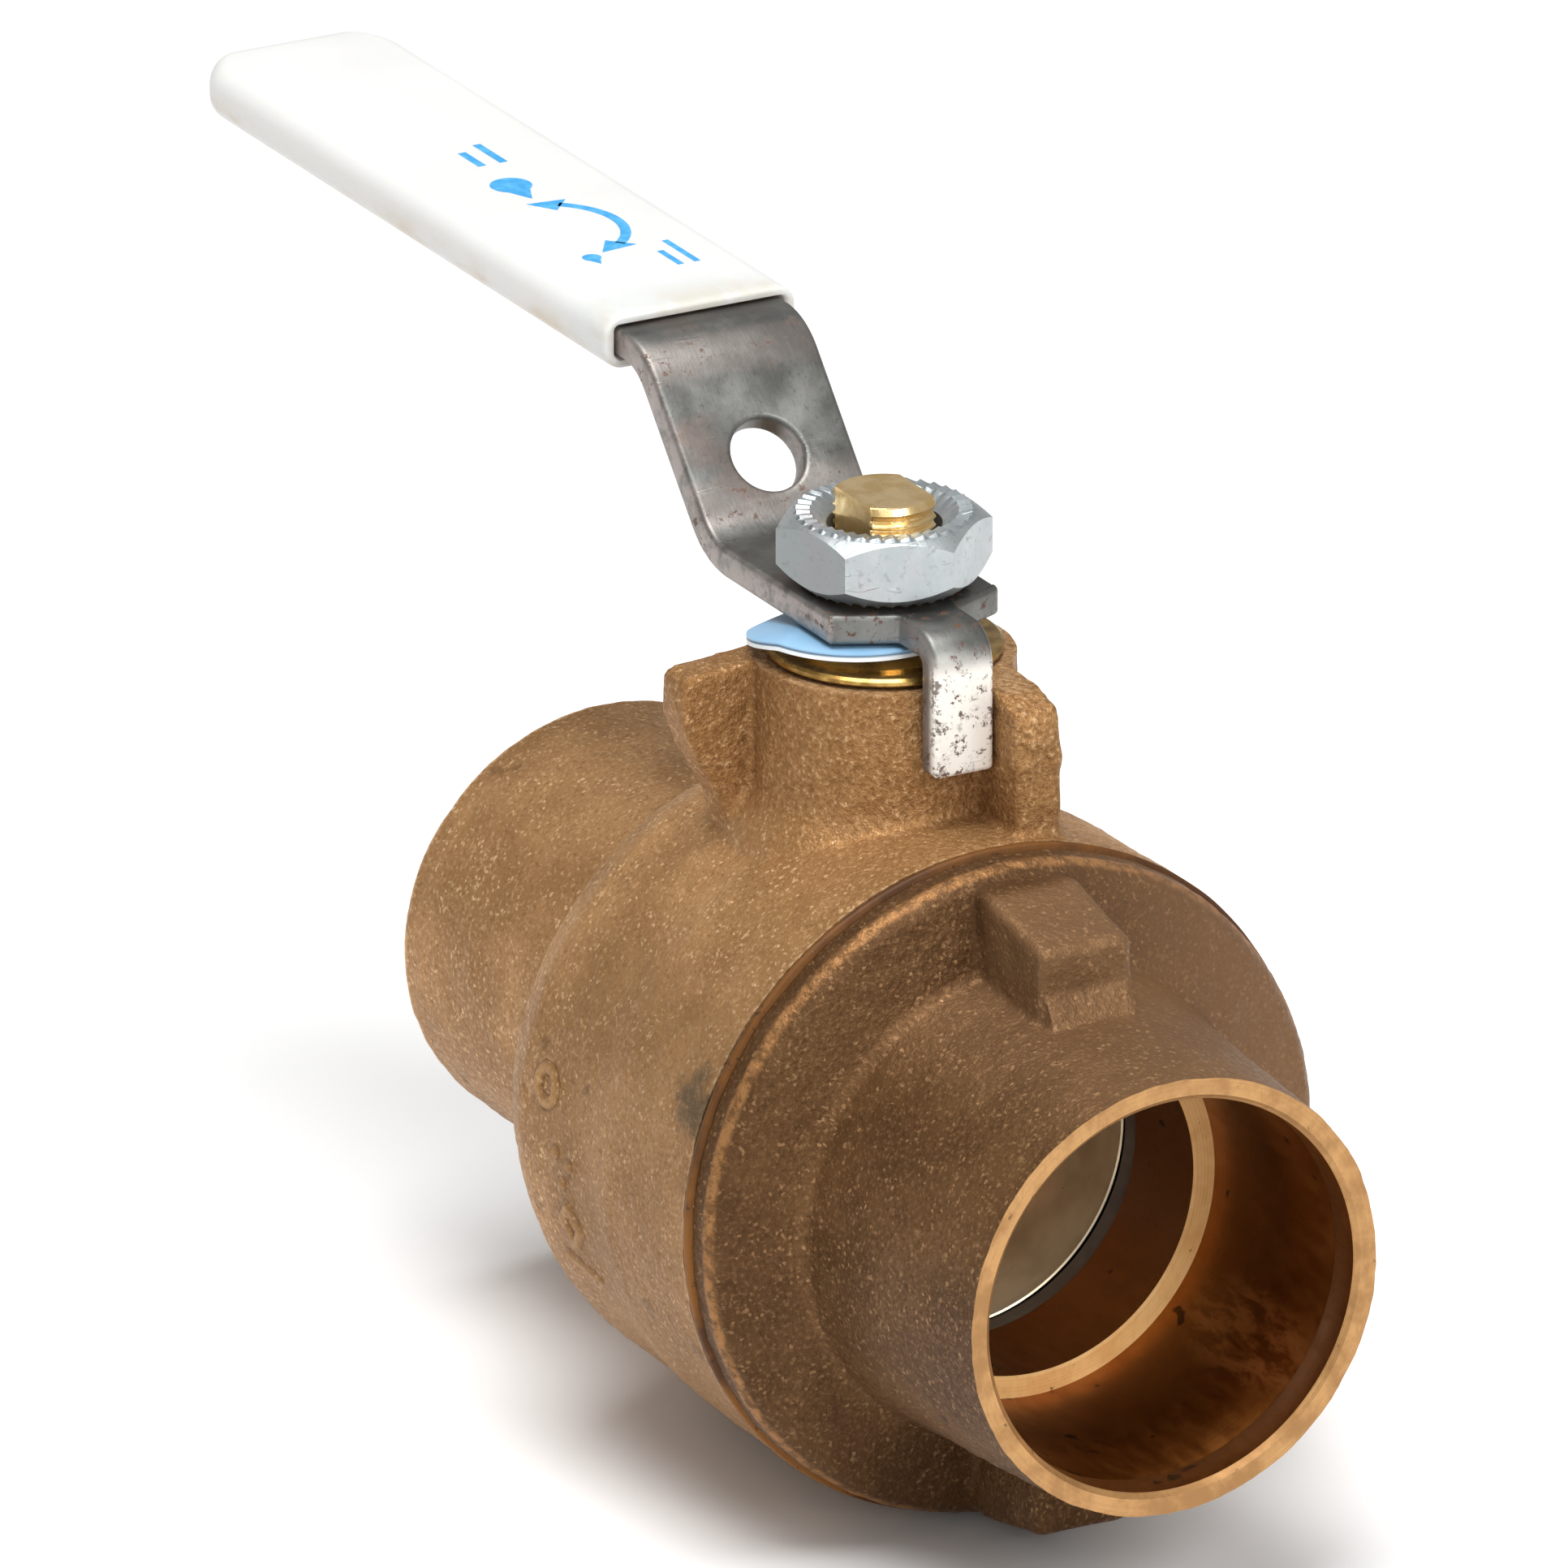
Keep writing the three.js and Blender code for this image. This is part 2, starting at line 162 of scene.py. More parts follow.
def apply_modifiers(obj):
    graph = bpy.context.evaluated_depsgraph_get()
    mesh = bpy.data.meshes.new_from_object(obj.evaluated_get(graph))
    obj.modifiers.clear()
    obj.data = mesh
    return obj


def carve(obj, *cutters, operation="DIFFERENCE"):
    """Cuts obj with the cutters, which are then removed."""
    for cutter in cutters:
        cut = obj.modifiers.new("cut", "BOOLEAN")
        cut.operation = operation
        cut.solver = "MANIFOLD"
        cut.object = cutter
    apply_modifiers(obj)
    for cutter in cutters:
        bpy.data.objects.remove(cutter)
    return obj


def soften(obj, width, segments=2, angle=35.0):
    """Rounds edges sharper than angle by width, in mm."""
    edge = obj.modifiers.new("edge", "BEVEL")
    edge.width = width * MM
    edge.segments = segments
    edge.limit_method = "ANGLE"
    edge.angle_limit = math.radians(angle)
    edge.use_clamp_overlap = False
    return apply_modifiers(obj)


def fillet(corners, steps=6):
    """Outline points of (s, r, radius) corners, each rounded by its radius where it has one."""
    outline = []
    count = len(corners)
    for i, (s, r, *rounding) in enumerate(corners):
        if not rounding or rounding[0] == 0:
            outline.append((s, r))
            continue
        here = Vector((s, r))
        back = (Vector(corners[i - 1][:2]) - here).normalized()
        ahead = (Vector(corners[(i + 1) % count][:2]) - here).normalized()
        half = back.angle(ahead) / 2
        reach = rounding[0] / math.tan(half)
        centre = here + (back + ahead).normalized() * rounding[0] / math.sin(half)
        start = here + back * reach - centre
        end = here + ahead * reach - centre
        sweep = math.atan2(start.x * end.y - start.y * end.x, start.dot(end))
        for k in range(steps + 1):
            turn = Matrix.Rotation(sweep * k / steps, 2)
            outline.append(tuple(centre + turn @ start))
    return outline


def turned(name, stations, axis, count=160, crease=30.0):
    """Closed mesh of rings about an axis. A station is (distance along the axis, radius) in mm, each one
    number or one per angle; angles run from +Y for axis x and from +X for axis z."""
    angle = np.linspace(0, 2 * np.pi, count, endpoint=False)
    rings = []
    for along, radius in stations:
        s = np.broadcast_to(along, count)
        r = np.broadcast_to(radius, count)
        across, up = r * np.cos(angle), r * np.sin(angle)
        rings.append(np.stack([s, across, up] if axis == "x" else [across, up, s], axis=1))
    faces = []
    total = len(rings)
    for i in range(total):
        a, b = i * count, (i + 1) % total * count
        for k in range(count):
            n = (k + 1) % count
            faces.append((a + k, a + n, b + n, b + k))
    return new_object(name, np.concatenate(rings), faces, crease)


def prism(name, outline, axis, low, high):
    """Outline in mm thickened along an axis: X-Z points for y, X-Y points for z, Y-Z points for x."""
    place = {"x": lambda u, v, w: (w, u, v), "y": lambda u, v, w: (u, w, v), "z": lambda u, v, w: (u, v, w)}
    count = len(outline)
    points = [place[axis](u, v, w) for w in (low, high) for u, v in outline]
    faces = [tuple(range(count)), tuple(range(2 * count - 1, count - 1, -1))]
    faces += [(k, (k + 1) % count, count + (k + 1) % count, count + k) for k in range(count)]
    return new_object(name, points, faces)


def polygon_radius(angle, sides, flats, turn):
    """Radius of a regular polygon's edge at each angle."""
    step = 2 * np.pi / sides
    local = np.mod(angle - turn, step) - step / 2
    return flats / 2 / np.cos(local)


def cast_from(name, shells, voxel, smoothing):
    """One cast skin round overlapping shells, with soft inside and outside corners."""
    work = bmesh.new()
    for shell in shells:
        work.from_mesh(shell.data)
        bpy.data.objects.remove(shell)
    mesh = bpy.data.meshes.new(name)
    work.to_mesh(mesh)
    work.free()
    obj = bpy.data.objects.new(name, mesh)
    bpy.context.scene.collection.objects.link(obj)
    skin = obj.modifiers.new("skin", "REMESH")
    skin.mode = "VOXEL"
    skin.voxel_size = voxel * MM
    even = obj.modifiers.new("even", "SMOOTH")
    even.factor = 0.5
    even.iterations = smoothing
    return apply_modifiers(obj)


def point_rows(mesh, kind):
    """One row of three numbers for each point of a mesh: its place ("co") or its "normal"."""
    values = np.empty(len(mesh.vertices) * 3)
    mesh.vertices.foreach_get(kind, values)
    return values.reshape(-1, 3)


def store(obj, name, values):
    """Keeps one value for each point, for a material to read."""
    attribute = obj.data.attributes.new(name, "FLOAT", "POINT")
    attribute.data.foreach_set("value", values.astype(np.float32))


def bumps(place, spots):
    """Height at each place of soft round bumps or pits: spots are (x, y, z, size, height) in mm."""
    height = np.zeros(len(place))
    for x, y, z, size, amount in spots:
        gap = np.linalg.norm(place - np.array((x, y, z)), axis=1)
        height += amount * np.exp(-(gap / size) ** 2)
    return height


def roughen(obj, layers, extra):
    """Moves the skin along its normals by noise, with layers of (size in mm, height in mm, seed), and by
    the height in mm that extra gives for each place."""
    mesh = obj.data
    place = point_rows(mesh, "co") / MM
    normal = point_rows(mesh, "normal")
    height = np.zeros(len(place))
    for size, amount, seed in layers:
        shift = Vector((seed * 17.3, seed * 5.1, seed * 9.7))
        height += amount * np.array([noise.noise(Vector(p) / size + shift) for p in place.tolist()])
    height += extra(place)
    moved = (place + normal * height[:, None]) * MM
    mesh.vertices.foreach_set("co", moved.ravel())
    mesh.update()


def edge_wear(obj, passes=3):
    """Stores how far each point stands proud (above 0.5) or lies in a corner (below 0.5)."""
    mesh = obj.data
    place = point_rows(mesh, "co") / MM
    normal = point_rows(mesh, "normal")
    ends = np.empty(len(mesh.edges) * 2, np.int32)
    mesh.edges.foreach_get("vertices", ends)
    ends = ends.reshape(-1, 2)
    both = np.concatenate([ends, ends[:, ::-1]])
    degree = np.maximum(np.bincount(both[:, 0], minlength=len(place)), 1)

    def around(values):
        total = np.zeros_like(values)
        np.add.at(total, both[:, 0], values[both[:, 1]])
        return total / (degree if values.ndim == 1 else degree[:, None])

    smooth = place
    for _ in range(passes * 2):
        smooth = around(smooth)
    proud = np.einsum("ij,ij->i", place - smooth, normal)
    for _ in range(passes):
        proud = around(proud)
    limit = np.percentile(np.abs(proud), 98.5) + 1e-9
    store(obj, "wear", np.clip(0.5 + 0.5 * proud / limit, 0, 1))


def fit(obj, body, slot, *nodes):
    """Puts a finished piece on its body, in place of the CAD nodes it stands for."""
    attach(obj, body)
    if nodes:
        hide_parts(*nodes)
    return obj


# ---------------------------------------------------------------- material tools

class Look:
    """A principled material and short ways to add its nodes."""

    def __init__(self, name, roughness=0.5, metallic=0.0, **sockets):
        self.material = bpy.data.materials.new(name)
        self.material.use_nodes = True
        self.tree = self.material.node_tree
        self.shader = self.tree.nodes["Principled BSDF"]
        self.shader.inputs["Roughness"].default_value = roughness
        self.shader.inputs["Metallic"].default_value = metallic
        for key, value in sockets.items():
            self.shader.inputs[key.replace("_", " ")].default_value = value
        self.place = self.node("ShaderNodeTexCoord").outputs["Object"]
        self.axes = self.node("ShaderNodeSeparateXYZ", Vector=self.place).outputs
        facing = self.node("ShaderNodeTexCoord").outputs["Normal"]
        self.facing = self.node("ShaderNodeSeparateXYZ", Vector=facing).outputs

    def node(self, kind, settings=None, **inputs):
        made = self.tree.nodes.new(kind)
        for key, value in (settings or {}).items():
            setattr(made, key, value)
        for key, value in inputs.items():
            socket = made.inputs[int(key[1:])] if key[0] == "_" else made.inputs[key]
            self.put(socket, value)
        return made

    def put(self, socket, value):
        if isinstance(value, bpy.types.NodeSocket):
            self.tree.links.new(value, socket)
        elif isinstance(value, tuple) and len(value) == 3 and socket.type == "RGBA":
            socket.default_value = (*value, 1.0)
        else:
            socket.default_value = value

    def math(self, operation, a, b=0.0, c=0.0):
        return self.node("ShaderNodeMath", {"operation": operation}, _0=a, _1=b, _2=c).outputs[0]

    def band(self, value, low, high, soft):
        """1 between low and high, falling to 0 over soft on each side."""
        rise = self.ramp(value, low - soft, low)
        fall = self.ramp(value, high, high + soft)
        return self.math("SUBTRACT", rise, fall)

    def ramp(self, value, low, high, to_low=0.0, to_high=1.0):
        mapped = self.node("ShaderNodeMapRange", {"interpolation_type": "SMOOTHSTEP"},
                           Value=value, _1=low, _2=high, _3=to_low, _4=to_high)
        return mapped.outputs["Result"]

    def radius(self):
        """Distance from the pipe axis, in metres."""
        flat = self.node("ShaderNodeCombineXYZ", Y=self.axes["Y"], Z=self.axes["Z"]).outputs[0]
        return self.node("ShaderNodeVectorMath", {"operation": "LENGTH"}, _0=flat).outputs["Value"]

    def stretched(self, x, y, z):
        return self.node("ShaderNodeVectorMath", {"operation": "MULTIPLY"},
                         _0=self.place, _1=(x, y, z)).outputs[0]

    def noise(self, size, detail=3.0, rough=0.55, place=None, distortion=0.0):
        """Fractal noise with features of about size mm, from 0 to 1."""
        made = self.node("ShaderNodeTexNoise", Vector=place or self.place,
                         Scale=1.0 / (size * MM), Detail=detail, Roughness=rough, Distortion=distortion)
        return made.outputs["Fac"]

    def cells(self, size):
        """A random level, from 0 to 1, for each cell of about size mm."""
        made = self.node("ShaderNodeTexVoronoi", {"feature": "F1"}, Vector=self.place, Scale=1.0 / (size * MM))
        return self.node("ShaderNodeSeparateColor", Color=made.outputs["Color"]).outputs[0]

    def turning(self, value, lines):
        """Tool marks along a value in metres, with about that many lines to the metre."""
        made = self.node("ShaderNodeTexNoise", {"noise_dimensions": "1D"}, W=value, Scale=lines, Detail=2.0)
        return made.outputs["Fac"]

    def distance(self, place, point):
        return self.node("ShaderNodeVectorMath", {"operation": "DISTANCE"}, _0=place, _1=point).outputs["Value"]

    def mix(self, factor, a, b, blend="MIX"):
        made = self.node("ShaderNodeMix", {"data_type": "RGBA", "blend_type": blend})
        self.put(made.inputs["Factor"], factor)
        self.put(made.inputs[6], a)
        self.put(made.inputs[7], b)
        return made.outputs[2]

    def tint(self, color, other, *masks):
        """color turned towards other by the product of the masks."""
        factor = masks[0]
        for mask in masks[1:]:
            factor = self.math("MULTIPLY", factor, mask)
        return self.mix(factor, color, other)

    def attribute(self, name):
        return self.node("ShaderNodeAttribute", {"attribute_name": name}).outputs["Fac"]

    def bump(self, height, depth, under=None):
        """Bump whose full height is depth mm."""
        made = self.node("ShaderNodeBump", Height=height, Strength=1.0, Distance=depth * MM)
        if under is not None:
            self.put(made.inputs["Normal"], under)
        return made.outputs["Normal"]

    def done(self, color=None, roughness=None, metallic=None, normal=None):
        for key, value in (("Base Color", color), ("Roughness", roughness),
                           ("Metallic", metallic), ("Normal", normal)):
            if value is not None:
                self.put(self.shader.inputs[key], value)
        return self.material


def sand_cast(name, light, dark, glint, grime, gloss):
    """Sand-cast bronze: fine grain, crystal sparkle painted in as glints, soft blotches, dull corners, and worn
    edges lightened partly by a painted highlight.
    """
    look = Look(name, metallic=0.42, Specular_IOR_Level=0.12)
    blotch = look.noise(18, 4, 0.6)
    mottle = look.noise(3.0, 4, 0.65)
    grain = look.noise(0.50, 2, 0.6)
    crystal = look.cells(0.34)
    color = look.mix(look.ramp(blotch, 0.36, 0.64), dark, light)
    color = look.mix(look.ramp(mottle, 0.45, 0.68, 0.0, 0.35), color, dark)
    color = look.mix(look.ramp(grain, 0.52, 0.74, 0.0, 0.34), color, glint)
    color = look.mix(look.ramp(grain, 0.45, 0.28, 0.0, 0.42), color, grime)
    # Painted highlight: glints on random crystal cells, standing in for their sparkle.
    color = look.tint(color, glint, look.ramp(crystal, 0.90, 0.98), look.ramp(mottle, 0.38, 0.55), 0.60)
    wear = look.attribute("wear")
    # Proud edges turned towards the glint colour: partly wear, partly a painted highlight.
    color = look.tint(color, glint, look.ramp(wear, 0.62, 0.92), look.ramp(mottle, 0.34, 0.60, 0.3, 1.0), 0.6)
    color = look.mix(look.ramp(wear, 0.42, 0.10, 0.0, 0.60), color, grime)
    color = look.tint(color, grime, look.ramp(look.noise(5.0, 2, 0.5), 0.69, 0.75), 0.5)
    rough = look.ramp(grain, 0.35, 0.65, gloss + 0.10, gloss)
    normal = look.bump(look.noise(2.4, 4, 0.6), 0.20)
    normal = look.bump(grain, 0.15, normal)
    normal = look.bump(crystal, 0.030, normal)
    return look, color, rough, normal


def body_bronze():
    light, dark = (0.430, 0.236, 0.100), (0.300, 0.156, 0.060)
    glint, grime = (0.80, 0.54, 0.30), (0.130, 0.064, 0.026)
    look, color, rough, normal = sand_cast("body_bronze", light, dark, glint, grime, 0.44)
    marks = look.attribute("marks")
    color = look.mix(look.ramp(marks, 0.25, 0.9, 0.0, 0.35), color, (0.58, 0.34, 0.15))
    color = look.mix(look.band(marks, 0.03, 0.16, 0.03), color, look.mix(0.6, color, grime))
    girth = look.ramp(look.axes["X"], -0.014, -0.002), look.ramp(look.axes["Z"], 0.030, 0.018)
    color = look.tint(color, (0.150, 0.076, 0.028), *girth, 0.34)
    upper = look.ramp(look.axes["Z"], 0.030, 0.037)
    color = look.tint(color, (0.270, 0.128, 0.040), upper, 0.42)
    coarse = look.noise(0.60, 3, 0.7)
    color = look.tint(color, (0.20, 0.095, 0.034), upper, look.ramp(coarse, 0.52, 0.36, 0.0, 0.72))
    color = look.tint(color, glint, upper, look.ramp(coarse, 0.58, 0.68, 0.0, 0.50))
    normal = look.bump(look.math("MULTIPLY", upper, coarse), 0.22, normal)
    spread = look.distance(look.place, (0.0205, -0.0318, 0.0128))
    ragged = look.math("ADD", spread, look.math("MULTIPLY", look.noise(2.6, 4, 0.7), 0.010))
    color = look.mix(look.ramp(ragged, 0.0102, 0.0058, 0.0, 0.70), color, (0.050, 0.044, 0.030))
    return look.done(color, rough, None, normal)


def retainer_bronze():
    light, dark = (0.145, 0.073, 0.029), (0.092, 0.043, 0.016)
    glint, grime = (0.42, 0.24, 0.115), (0.036, 0.016, 0.006)
    look, color, rough, normal = sand_cast("retainer_bronze", light, dark, glint, grime, 0.42)
    axial, radial = look.axes["X"], look.radius()
    # Painted highlight: a thin orange line of light along the flange's rounded outer corner, broken up by
    # noise.
    painted_corner_highlight = look.band(axial, 0.0259, 0.0266, 0.0006)
    highlight_breakup = look.ramp(look.noise(1.4, 4, 0.7), 0.38, 0.60, 0.2, 0.9)
    color = look.tint(color, (0.48, 0.235, 0.088), painted_corner_highlight, look.ramp(radial, 0.0331, 0.0341), highlight_breakup)
    color = look.mix(look.ramp(axial, 0.0300, 0.0290, 0.0, 0.30), color, (0.060, 0.028, 0.011))
    # Painted light: the +Y side of the retainer is lightened, as if lit more strongly from that side.
    painted_side_light = look.ramp(look.axes["Y"], -0.005, 0.030, 0.0, 0.55)
    color = look.mix(painted_side_light, color, (0.270, 0.150, 0.080))
    # Painted light: the top of the retainer's front is lightened, as if lit from above.
    over = look.ramp(look.axes["Z"], 0.016, 0.026, 0.0, 0.35)
    color = look.tint(color, (0.300, 0.170, 0.085), over, look.ramp(axial, 0.029, 0.032))
    return look.done(color, rough, None, normal)


def machined_bronze(name, bright, dull, roughness, metallic):
    """Turned bronze with fine rings round the pipe axis, scratches and stains."""
    look = Look(name, roughness, metallic)
    lines = look.turning(look.radius(), 3500.0)
    haze = look.noise(5.0, 4, 0.65)
    scratch = look.noise(0.5, 2, 0.7, look.stretched(0.3, 1.0, 0.15))
    color = look.mix(look.ramp(haze, 0.38, 0.64), bright, dull)
    color = look.mix(look.ramp(lines, 0.45, 0.62, 0.0, 0.30), color, dull)
    color = look.mix(look.ramp(scratch, 0.60, 0.70, 0.0, 0.45), color, dull)
    color = look.mix(look.ramp(look.noise(1.3, 3, 0.7), 0.66, 0.72, 0.0, 0.75), color, (0.12, 0.055, 0.022))
    rough = look.ramp(haze, 0.3, 0.8, roughness, roughness + 0.15)
    return look.done(color, rough, None, look.bump(lines, 0.03, look.bump(scratch, 0.02)))


def cup_copper(name, deep, streak, roughness):
    """The dark, fluxed inside of a solder cup, with a painted reflection of a softbox, a lighter copper streak
    along its floor.
    """
    look = Look(name, roughness, 1.0)
    drift = look.noise(11.0, 4, 0.55, look.stretched(0.5, 1.0, 1.0))
    streaks = look.noise(1.7, 4, 0.7, look.stretched(0.30, 1.0, 1.0), 0.4)
    color = look.mix(look.ramp(drift, 0.44, 0.66, 0.0, 0.22), deep, streak)
    # Painted reflection: a lighter copper streak on the cup floor where a softbox would be mirrored.
    spread = look.distance(look.stretched(0.45, 1.0, 1.0), (0.0203, 0.0166, -0.0124))
    painted_reflection = look.ramp(spread, 0.0062, 0.0028), look.ramp(streaks, 0.40, 0.60, 0.15, 1.0)
    color = look.tint(color, (0.74, 0.34, 0.11), *painted_reflection, 0.70)
    blot = look.ramp(look.noise(4.2, 2, 0.5), 0.67, 0.71)
    color = look.tint(color, (0.022, 0.008, 0.003), blot, 0.8)
    rough = look.ramp(streaks, 0.3, 0.75, roughness, roughness + 0.15)
    turning = look.turning(look.axes["X"], 3000.0)
    return look.done(color, rough, None, look.bump(turning, 0.012, look.bump(streaks, 0.03)))


def turned_brass(name, bright, dull):
    look = Look(name, 0.22, 0.9)
    stain = look.noise(3.0, 4, 0.6)
    color = look.mix(look.ramp(stain, 0.38, 0.66), bright, dull)
    color = look.mix(look.ramp(look.noise(0.8, 3, 0.7), 0.66, 0.74, 0.0, 0.6), color, (0.20, 0.12, 0.05))
    turning = look.noise(0.18, 2, 0.5, look.stretched(0.05, 0.05, 1.0))
    scuff = look.noise(0.35, 3, 0.6)
    rough = look.ramp(stain, 0.3, 0.8, 0.18, 0.36)
    return look.done(color, rough, None, look.bump(turning, 0.012, look.bump(scuff, 0.012)))


def chromed_ball():
    look = Look("chromed_ball", 0.24, 0.7)
    film = look.noise(9.0, 3, 0.5)
    color = look.mix(look.ramp(film, 0.35, 0.7), (0.92, 0.80, 0.58), (0.66, 0.55, 0.37))
    scuff = look.noise(1.5, 4, 0.7, look.stretched(1.0, 1.0, 0.5))
    color = look.mix(look.ramp(scuff, 0.68, 0.74, 0.0, 0.8), color, (0.08, 0.06, 0.04))
    lines = look.turning(look.axes["X"], 3500.0)
    return look.done(color, look.ramp(film, 0.3, 0.8, 0.34, 0.46), None, look.bump(lines, 0.01))


def zinc(name, bright, dull, tint, roughness):
    """Zinc plate gone grey: clouds, a faint pink bloom, fine scratches and pits."""
    look = Look(name, roughness, 0.85)
    cloud = look.noise(9.0, 5, 0.6)
    bloom = look.noise(12.0, 3, 0.55)
    fine = look.noise(0.8, 4, 0.65)
    brushed = look.noise(0.30, 2, 0.6, look.stretched(0.12, 1.0, 0.25))
    color = look.mix(look.ramp(cloud, 0.38, 0.64), dull, bright)
    color = look.mix(look.ramp(bloom, 0.52, 0.66, 0.0, 0.6), color, tint)
    color = look.mix(look.ramp(fine, 0.55, 0.72, 0.0, 0.40), color, (0.055, 0.055, 0.052))
    color = look.mix(look.ramp(brushed, 0.55, 0.72, 0.0, 0.25), color, bright)
    rough = look.ramp(cloud, 0.3, 0.75, roughness, roughness + 0.12)
    scratch = look.ramp(look.noise(1.1, 2, 0.4, look.stretched(1.0, 0.12, 1.0)), 0.66, 0.70)
    normal = look.bump(look.noise(3.5, 3, 0.5), 0.05)
    normal = look.bump(brushed, 0.012, normal)
    normal = look.bump(scratch, 0.02, look.bump(fine, 0.02, normal))
    return look, color, rough, normal


def nut_zinc():
    look, color, rough, normal = zinc("nut_zinc", (0.50, 0.545, 0.555), (0.37, 0.41, 0.425),
                                      (0.47, 0.43, 0.445), 0.34)
    # Painted shade: faces turned towards -Y are darkened.
    painted_shade_side = look.ramp(look.facing["Y"], -0.55, -0.90, 0.0, 0.70)
    color = look.mix(painted_shade_side, color, (0.085, 0.10, 0.105))
    wear = look.attribute("wear")
    color = look.mix(look.ramp(wear, 0.62, 0.92, 0.0, 0.12), color, (0.90, 0.90, 0.88))
    color = look.mix(look.ramp(wear, 0.40, 0.12, 0.0, 0.5), color, (0.14, 0.15, 0.15))
    specks = look.ramp(look.noise(1.5, 4, 0.75), 0.67, 0.71)
    under = look.ramp(look.axes["Z"], 0.0576, 0.0564, 0.0, 0.7)
    color = look.tint(color, (0.20, 0.17, 0.15), specks, 0.7)
    color = look.tint(color, (0.16, 0.07, 0.035), under, look.ramp(look.noise(3.0, 4, 0.7), 0.46, 0.62))
    return look.done(color, rough, None, normal)


def lever_zinc():
    look, color, rough, normal = zinc("lever_zinc", (0.235, 0.236, 0.222), (0.140, 0.140, 0.132),
                                      (0.225, 0.168, 0.148), 0.40)
    x, y, z = look.axes["X"], look.axes["Y"], look.axes["Z"]
    patchy = look.noise(2.2, 5, 0.75)
    # Painted highlight: lighter bands across the lever's two bends; the same bands also draw rust towards the
    # bends further down.
    bends = look.math("MAXIMUM", look.band(x, -0.0334, -0.0312, 0.0016),
                      look.band(x, -0.0220, -0.0200, 0.0016))
    color = look.tint(color, (0.42, 0.35, 0.32), bends, 0.30)
    # Painted shade: the flat arm out to the grip is darkened.
    upper = look.ramp(x, -0.0355, -0.0368, 0.0, 0.55)
    color = look.mix(upper, color, (0.085, 0.083, 0.078))
    # Painted shade: upward faces of the head near the stem are darkened.
    level = look.ramp(look.facing["Z"], 0.75, 0.95)
    color = look.tint(color, (0.060, 0.055, 0.048), level, look.ramp(x, -0.0190, -0.0165, 0.0, 0.42))
    cut = look.ramp(look.math("ABSOLUTE", look.facing["Y"]), 0.6, 0.95)
    color = look.tint(color, (0.33, 0.285, 0.265), cut, look.ramp(patchy, 0.36, 0.60, 0.25, 0.75))
    edge = look.ramp(look.math("ABSOLUTE", y), 0.00905, 0.0094)
    color = look.tint(color, (0.42, 0.37, 0.35), edge, look.ramp(patchy, 0.40, 0.56), 0.5)
    tang = look.math("MULTIPLY", look.ramp(x, 0.0150, 0.0164), look.ramp(z, 0.0545, 0.0512))
    color = look.tint(color, (0.93, 0.89, 0.82), tang, look.ramp(patchy, 0.34, 0.46, 0.35, 0.95))
    border = look.ramp(look.math("ABSOLUTE", y), 0.0022, 0.0033, 0.0, 0.10)
    chips = look.ramp(look.math("ADD", look.noise(1.3, 4, 0.75), border), 0.60, 0.66)
    color = look.tint(color, (0.10, 0.07, 0.055), tang, chips, 0.85)
    near = look.math("MAXIMUM", look.band(x, 0.004, 0.020, 0.006), look.math("MULTIPLY", bends, 0.8))
    rust = look.ramp(look.noise(1.5, 5, 0.78), 0.560, 0.62)
    rust = look.math("MULTIPLY", rust, look.math("ADD", look.math("MULTIPLY", near, 0.85), 0.10))
    color = look.mix(rust, color, (0.120, 0.058, 0.034))
    metal = look.math("SUBTRACT", 0.85, look.math("MULTIPLY", look.math("MAXIMUM", rust, tang), 0.6))
    rough = look.math("ADD", rough, look.math("MULTIPLY", rust, 0.35))
    return look.done(color, rough, metal, normal)


def white_vinyl():
    look = Look("white_vinyl", 0.42, 0.0, Specular_IOR_Level=0.45, Subsurface_Weight=0.04)
    shade_noise = look.noise(30.0, 3, 0.5)
    color = look.mix(look.ramp(shade_noise, 0.35, 0.65), (0.655, 0.657, 0.643), (0.690, 0.692, 0.679))
    low_edge = look.ramp(look.axes["Z"], 0.0722, 0.0684)
    side = look.ramp(look.math("ABSOLUTE", look.axes["Y"]), 0.0100, 0.0109)
    smear = look.noise(5.0, 5, 0.65, look.stretched(0.45, 1.0, 1.0))
    stain = look.math("MULTIPLY", look.math("MULTIPLY", low_edge, side), look.ramp(smear, 0.42, 0.66))
    mouth = look.math("MULTIPLY", look.ramp(look.axes["X"], -0.046, -0.0385), look.ramp(smear, 0.38, 0.60))
    dirt = look.math("MAXIMUM", stain, look.math("MULTIPLY", mouth, 0.6))
    color = look.tint(color, (0.52, 0.41, 0.25), dirt, 0.6)
    fleck = look.ramp(look.noise(0.9, 3, 0.6), 0.74, 0.78, 0.0, 0.35)
    color = look.mix(fleck, color, (0.50, 0.44, 0.34))
    normal = look.bump(look.noise(6.0, 3, 0.5), 0.10)
    normal = look.bump(look.noise(0.5, 3, 0.6), 0.010, normal)
    return look.done(color, look.ramp(shade_noise, 0.3, 0.7, 0.38, 0.5), None, normal)


def print_ink():
    """Blue ink, a little uneven."""
    look = Look("print_ink", 0.4, 0.0)
    patchy = look.ramp(look.noise(1.2, 3, 0.6), 0.35, 0.7)
    return look.done(look.mix(patchy, (0.030, 0.300, 0.640), (0.080, 0.400, 0.720)))


def tag_film(name, top, under):
    look = Look(name, 0.35, 0.0, Specular_IOR_Level=0.4)
    color = look.mix(look.ramp(look.noise(8.0, 3, 0.5), 0.35, 0.65), top, under)
    return look.done(color, None, None, look.bump(look.noise(3.0, 2, 0.5), 0.02))


